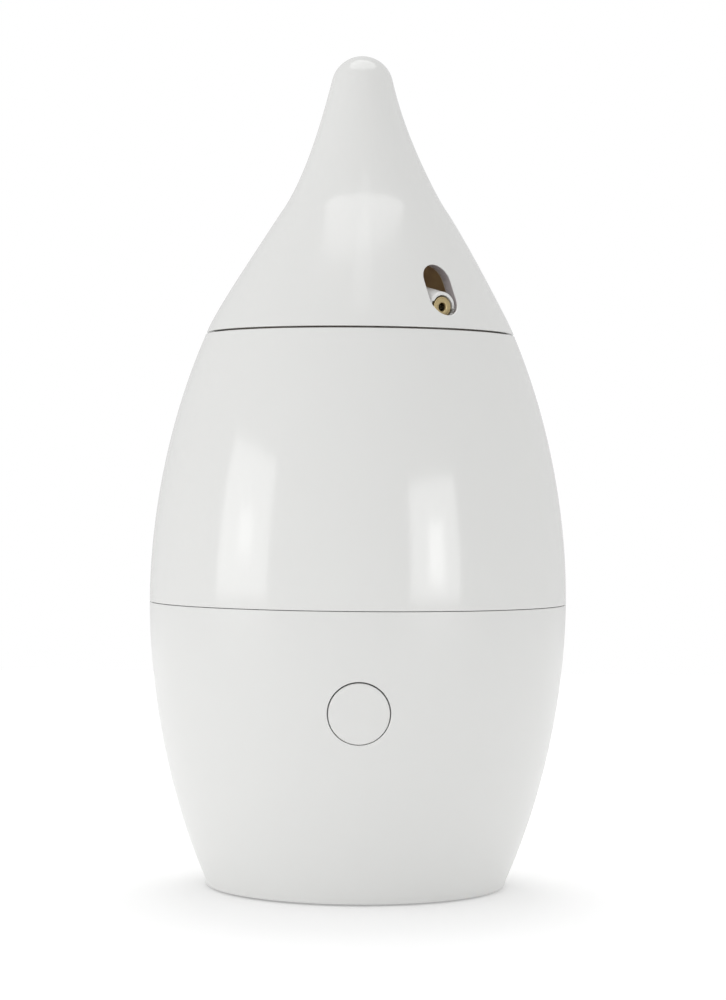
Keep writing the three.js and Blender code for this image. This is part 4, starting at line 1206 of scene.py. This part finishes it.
def make_solder():
    """The solder cones round the ends of the leads."""
    bm = bmesh.new()
    cone = fillet([(0, 42.0), (1.25, 42.0), (1.0, 42.3, 0.2), (0.55, 43.0, 0.2), (0, 43.2)], closed=False)
    for x in LEAD_ENDS:
        add_revolved(bm, cone, 24, False, at(x, 0, 38.2) @ ALONG_Y)
    return finish_mesh("solder_joints", bm)


give(make_solder(), "screw_steel", "base")

X_UP = Matrix(((0, 0, 1, 0), (1, 0, 0, 0), (0, 1, 0, 0), (0, 0, 0, 1)))
bracket = unite(
    boxes("board_stand", ((-13.5, -40.1, 26), (13.5, -38.1, 66), 0.5)),
    boxes("leg", ((-7, -40.1, 3.3), (7, -38.1, 28), 0.5)),
    boxes("foot", ((-7, -40.1, 3.3), (7, -28, 5.3), 0.5)),
    prism("gusset", [(-39, 4.5), (-30, 4.5), (-39, 14)], -1, 1, X_UP),
)
subtract(bracket, box_tool((-8, -45, 44), (8, -35, 60), None, 1.0), *board_holes())
give(bracket, "inner_white", "base", "board_bracket")

places = [at(x, -42.3, z) @ ALONG_Y for x, z in BOARD_SCREWS]
board_screw = screw_mesh("board_fixing", 3.2, 0.85, 1.9, 1.2, 0.55)
copies(board_screw, "board_fixing", "board_screw", "screw_steel", "base", places)

low, high = span("driver_chip")
mark = at(-2.9, 0, 63.3) @ ALONG_Y
chip = boxes("motor_driver", (low, high, 0.2))
subtract(chip, round_tool(0.4, high.y - 3, 46, mark, 24), round_tool(0.35, 43.75, 46, mark, 24))
give(chip, "black_plastic", "base", "driver_chip")
chip_legs = boxes(
    "driver_legs",
    *[((x - 0.2, -43.1, z - 0.55), (x + 0.2, -42.03, z + 0.55), 0.06)
      for x in (-3, -1, 1, 3) for z in (59.1, 64.9)],
)
give(chip_legs, "screw_steel", "base")

capacitor = turned("capacitor_can", [
    (0, 36.4), (2.5, 36.4, 0.2), (2.6, 37.4, 0.1), (2.4, 37.7, 0.1), (2.6, 38, 0.1), (2.6, 41.6, 0.3),
    (2.2, 41.6, 0.1), (2.0, 41.5, 0.1), (0, 41.5),
], 64, at(*middle("capacitor").xy))
give(capacitor, "screw_steel", "base", "capacitor", look=motor_steel)

# -------- base: power inlet

# The low-voltage socket: a square body, a round nose in the shell's hole and a centre pin.
JACK_Z = middle("dc_jack").z
BACKWARDS = at(z=JACK_Z) @ Matrix.Rotation(math.radians(-90), 4, "X")

inlet = boxes("power_inlet", ((-5, 33, JACK_Z - 5), (5, 43.8, JACK_Z + 5), 0.5))
unite(inlet, turned("nose", [(0, 43), (4.3, 43), (4.3, 48.6, 0.35), (0, 48.6)], 72, BACKWARDS))
subtract(inlet, turned("cutter", [(0, 38), (2.8, 38), (2.8, 48.2), (3.2, 48.8), (0, 48.8)], 64, BACKWARDS))
give(inlet, "black_plastic", "base", "dc_jack")
pin = turned("power_pin", [(0, 37.5), (1, 37.5), (1, 47, 0.45), (0, 47)], 40, BACKWARDS)
give(pin, "screw_steel", "base", "dc_jack")

# -------- base: air pump

PUMP = middle("motor_can")
AT_PUMP = at(PUMP.x, PUMP.y)

pump_pad = turned("pump_cushion", [
    (0, 3.3), (12.5, 3.3, 0.5), (12.5, 4.4), (12.1, 4.8, 0.2), (12.5, 5.2), (12.5, 6.3, 0.5), (0, 6.3),
], 96, AT_PUMP)
give(pump_pad, "foot_rubber", "base", "pump_pad")
motor_cap = turned("motor_cap", [(0, 6.6), (11.4, 6.6, 0.5), (11.4, 9.3, 0.3), (0, 9.3)], 96, AT_PUMP)
give(motor_cap, "black_plastic", "base", "motor_end_cap")
can = turned("motor_case", [
    (0, 12), (10.6, 10.3), (11, 9.6, 0.2), (12, 10.6, 0.4), (12, 32.4, 1.0), (10.4, 34, 0.4), (4.2, 34, 0.2),
    (4.0, 34.2, 0.05), (2.6, 34.2, 0.1), (1.4, 34.2), (1.4, 13.4), (0, 13.4),
], 96, AT_PUMP)
give(can, "motor_steel", "base", "motor_can")
subtract(can, *[box_tool((8.5, -2, 28.5), (13, 2, 31.5), AT_PUMP @ turned_by(a), 0.4) for a in (45, 225)])
shaft = turned("motor_axle", [(0, 14), (1, 14, 0.15), (1, 40.5, 0.15), (0, 40.5)], 48, AT_PUMP)
give(shaft, "motor_steel", "rotor", "motor_shaft", look=spring_steel)

# The disc on the shaft, with its pin off the axis and a hole for its set screw.
crank = rounded("crank_disc", [(1.3, 37.4, 0.1), (6, 37.4, 0.3), (6, 42, 0.3), (1.3, 42, 0.1)], 72, AT_PUMP)
unite(crank, round_tool(1.2, 41.8, 43.6, AT_PUMP @ at(3.2), 40))
FROM_BEHIND = AT_PUMP @ at(z=39.7) @ Matrix.Rotation(math.radians(-90), 4, "Y")
subtract(crank, round_tool(0.8, 3.5, 8, FROM_BEHIND, 32))
give(crank, "brass", "rotor", "eccentric")

housing = rounded("pump_case", [
    (3, 34.3, 0.2), (13.5, 34.3, 0.6), (13.5, 37.2), (13.1, 37.6, 0.2), (13.1, 46.4, 0.2), (13.5, 46.8),
    (13.5, 50, 0.3), (10.6, 50, 0.3), (10.6, 36.5, 0.5), (3, 36.5, 0.2),
], 96, AT_PUMP)
give(housing, "black_plastic", "base", "pump_housing")
for angle in (60, 180, 300):
    subtract(housing, round_tool(1.6, 9, 15, AT_PUMP @ turned_by(angle) @ at(z=42) @ ALONG_X, 40))
membrane = turned("pump_membrane", [
    (0, 45), (3, 45, 0.4), (3, 48.4, 0.2), (6, 48.4, 0.4), (7.5, 47.4, 0.8), (9, 48.6, 0.4),
    (10.2, 50.3, 0.3), (13, 50.3, 0.2), (13, 51.9, 0.3), (9, 51.9, 0.4), (7.5, 49.4, 0.8), (6, 50.3, 0.4),
    (0, 50.3),
], 96, AT_PUMP)
give(membrane, "foot_rubber", "base", "diaphragm")

AT_BARB = AT_PUMP @ at(z=56) @ ALONG_X
valve_cover = turned("valve_cap", [
    (0, 55), (10.6, 55, 0.3), (10.6, 52.2, 0.2), (13.5, 52.2, 0.3), (13.5, 57.4), (12.5, 58.4, 0.3),
    (6.5, 58.4, 0.2), (6.2, 58.0, 0.2), (0, 58.0),
], 96, AT_PUMP)
unite(valve_cover, turned("barb", [
    (0, 11.5), (1.45, 11.5), (1.45, 13.8), (1.75, 13.9, 0.05), (1.4, 15.2), (1.75, 15.3, 0.05),
    (1.3, 16.6, 0.1), (0, 16.6),
], 48, AT_BARB))
subtract(valve_cover, round_tool(0.9, 8, 18, AT_BARB, 32), round_tool(0.9, 54, 56, AT_PUMP @ at(8.5), 32))
for angle in (45, 135, 225, 315):
    subtract(valve_cover, round_tool(1.5, 57.2, 60, AT_PUMP @ turned_by(angle) @ at(10.2), 32))
give(valve_cover, "black_plastic", "base", "valve_cover")

clamp = rounded("motor_strap", [
    (12.3, 20, 0.2), (14.1, 20, 0.4), (14.1, 26, 0.4), (12.3, 26, 0.2),
], 96, AT_PUMP)
for angle in (0, 180):
    unite(clamp, boxes("leg", ((-3.5, 13, 3.3), (3.5, 15.2, 26), 0.4, AT_PUMP @ turned_by(angle))))
give(clamp, "inner_white", "base", "pump_clamp")

HOSE = [
    (PUMP.x + 13.8, 0, 56), (PUMP.x + 17, 0, 56), (-3.4, 0, 57.5), (-0.9, 0, 60.8), (0, 0, 64.5),
    (0, 0, 67.5), (0, 0, 70.7),
]
give(tube("air_hose", route(HOSE), 3, 2, 40), "silicone", "base", "air_tube")


def make_filter():
    """A pad of open foam, with an uneven top and rounded sides."""
    low, high = span("inlet_filter")
    bm = bmesh.new()
    add_box(bm, low, high, 0.5)
    bmesh.ops.subdivide_edges(bm, edges=bm.edges[:], cuts=9, use_grid_fill=True)
    for vert in bm.verts:
        if low.z + 0.4 < vert.co.z:
            vert.co.z -= 0.25 * (1 + noises.noise(vert.co * 0.9))
    return finish_mesh("foam_filter", bm)


give(make_filter(), "filter_foam", "base", "inlet_filter")

LEADS = {
    "power_lead_red": [
        (-2, 32.2, 18), (5, 26, 14), (17, 5, 11), (20, -20, 13), (15, -37, 20), (6, -43.2, 29),
        (5, -43.3, 38),
    ],
    "power_lead_black": [
        (2, 32.2, 18), (9, 27, 17), (21, 6, 14), (23, -18, 20), (17, -37, 21), (12.5, -43, 26),
        (9, -43.7, 32), (8, -43.3, 38),
    ],
    "motor_lead_red": [
        (PUMP.x + 11.3, -4.1, 8), (-9, -7, 8.6), (-8.6, -20, 11), (-11, -34, 16), (-10, -41.5, 23),
        (-6, -43.4, 31), (-5, -43.3, 38),
    ],
    "motor_lead_black": [
        (PUMP.x + 9.2, -7.7, 8), (-12, -11, 9), (-13, -24, 13), (-15.5, -37, 19), (-13, -42.6, 26),
        (-9, -43.6, 33), (-8, -43.3, 38),
    ],
}
for name, points in LEADS.items():
    colour = name.split("_")[-1]
    give(tube(name.replace("lead", "wire"), route(points), 0.8), f"{colour}_lead", "base", name)

# -------- light, floor and camera

CAMERA_DISTANCE = 0.798
CAMERA_HEIGHT = 0.1158
CAMERA_LENS = 99.04
CAMERA_PITCH = -0.31
CAMERA_YAW = -0.088
CAMERA_ROLL = 0.5
CAMERA_AZIMUTH = -0.56

camera_data = bpy.data.cameras.new("camera")
camera_data.sensor_width = 36
camera_data.lens = CAMERA_LENS
camera_data.clip_start = 0.01
camera_data.clip_end = 50
camera = link(bpy.data.objects.new("camera", camera_data))
camera.matrix_world = (
    Matrix.Rotation(math.radians(CAMERA_AZIMUTH), 4, "Z")
    @ Matrix.Translation((0, -CAMERA_DISTANCE, CAMERA_HEIGHT))
    @ Matrix.Rotation(math.radians(CAMERA_YAW), 4, "Z")
    @ Matrix.Rotation(math.radians(90 + CAMERA_PITCH), 4, "X")
    @ Matrix.Rotation(math.radians(CAMERA_ROLL), 4, "Z")
)
bpy.context.scene.camera = camera


# The radiance of each softbox. The panels show as streaks in the gloss, with a brighter core each.
LEFT_PANEL = 2.1
LEFT_CORE = 1.8
RIGHT_PANEL = 2.6
RIGHT_CORE = 2.7
CONE_PATCH = 1.75
CONE_CORE = 0.6
LEFT_KEY = 0.82
OVERHEAD = 0.55
ROOM_GLOW = 0.71
TABLE_LIGHT = 3.5
FLOOR_GLOW = 0.185


def softbox(name, centre, size, radiance, target=(0, 0, 0.1), gloss=False, shape="RECTANGLE"):
    """A soft area light with this radiance, facing the target, for gloss or for all the rest."""
    data = bpy.data.lights.new(name, "AREA")
    data.shape = shape
    data.size, data.size_y = size
    area = size[0] * size[1] * (math.pi / 4 if shape == "ELLIPSE" else 1)
    data.energy = radiance * math.pi * area
    lamp = link(bpy.data.objects.new(name, data))
    lamp.visible_diffuse = not gloss
    lamp.visible_glossy = gloss
    direction = Vector(target) - Vector(centre)
    lamp.rotation_mode = "QUATERNION"
    lamp.rotation_quaternion = direction.to_track_quat("-Z", "Y")
    lamp.location = centre
    return lamp


def polar(distance, azimuth, height):
    """A place round the object: azimuth 0 is the camera's side, and 90 is +X."""
    angle = math.radians(azimuth)
    return (distance * math.sin(angle), -distance * math.cos(angle), height)


softbox("left_panel", polar(1.6, -66, 0.40), (0.92, 0.70), LEFT_PANEL, (0, 0, 0.40), gloss=True)
softbox("left_core", polar(1.59, -65, 0.35), (0.25, 0.20), LEFT_CORE, (0, 0, 0.35), gloss=True)
softbox("right_panel", polar(1.6, 41.6, 0.355), (0.80, 0.61), RIGHT_PANEL, (0, 0, 0.355), gloss=True)
softbox("right_core", polar(1.59, 42, 0.29), (0.25, 0.30), RIGHT_CORE, (0, 0, 0.29), gloss=True)
softbox("cone_patch", (0, -0.01, 1.55), (1.7, 1.22), CONE_PATCH, (0, 0, 0), gloss=True, shape="ELLIPSE")
softbox("cone_core", (0, -0.68, 1.52), (0.30, 0.46), CONE_CORE, (0, -0.6, 0), gloss=True, shape="ELLIPSE")
left_key = softbox("left_key", polar(2.4, -65, 0.9), (2.0, 2.0), LEFT_KEY)
softbox("overhead", (0, 0, 2.4), (2.6, 2.6), OVERHEAD, (0, 0, 0))

# The studio's walls give an even glow, and the camera sees them as plain white.
world = bpy.data.worlds.new("studio")
world.use_nodes = True
tree = world.node_tree
camera_ray = node(tree, "ShaderNodeLightPath").outputs["Is Camera Ray"]
glow = spread(tree, camera_ray, ROOM_GLOW, 1.0, 0, 1)
tree.links.new(glow, tree.nodes["Background"].inputs["Strength"])
tree.nodes["Background"].inputs["Color"].default_value = (1, 1, 1, 1)
bpy.context.scene.world = world
bpy.context.scene.view_settings.view_transform = "Standard"


def make_floor():
    bm = bmesh.new()
    bmesh.ops.create_grid(bm, x_segments=8, y_segments=8, size=0.9 / MM)
    floor = finish_mesh("floor", bm, smooth=False)
    material, tree, shader, where = new_material("pale_floor")
    paper = noise(tree, where, 200, 4)
    colour = mix_colours(tree, paper, (0.89, 0.89, 0.89), (0.91, 0.91, 0.91))
    tree.links.new(colour, shader.inputs["Base Color"])
    shader.inputs["Roughness"].default_value = 0.9
    shader.inputs["Specular IOR Level"].default_value = 0.1
    shader.inputs["Emission Color"].default_value = (1, 1, 1, 1)
    shader.inputs["Emission Strength"].default_value = FLOOR_GLOW
    floor.data.materials.append(material)
    return floor


def link_light(lamp, obj, state):
    """Keeps a lamp's light to one object, or keeps it off that object."""
    group = bpy.data.collections.new(f"{lamp.name}_receivers")
    group.objects.link(obj)
    group.collection_objects[0].light_linking.link_state = state
    lamp.light_linking.receiver_collection = group


floor = make_floor()
table_light = softbox("table_light", (0, 0.8, 2.0), (0.8, 0.8), TABLE_LIGHT, (0, 0, 0))
link_light(table_light, floor, "INCLUDE")
link_light(left_key, floor, "EXCLUDE")
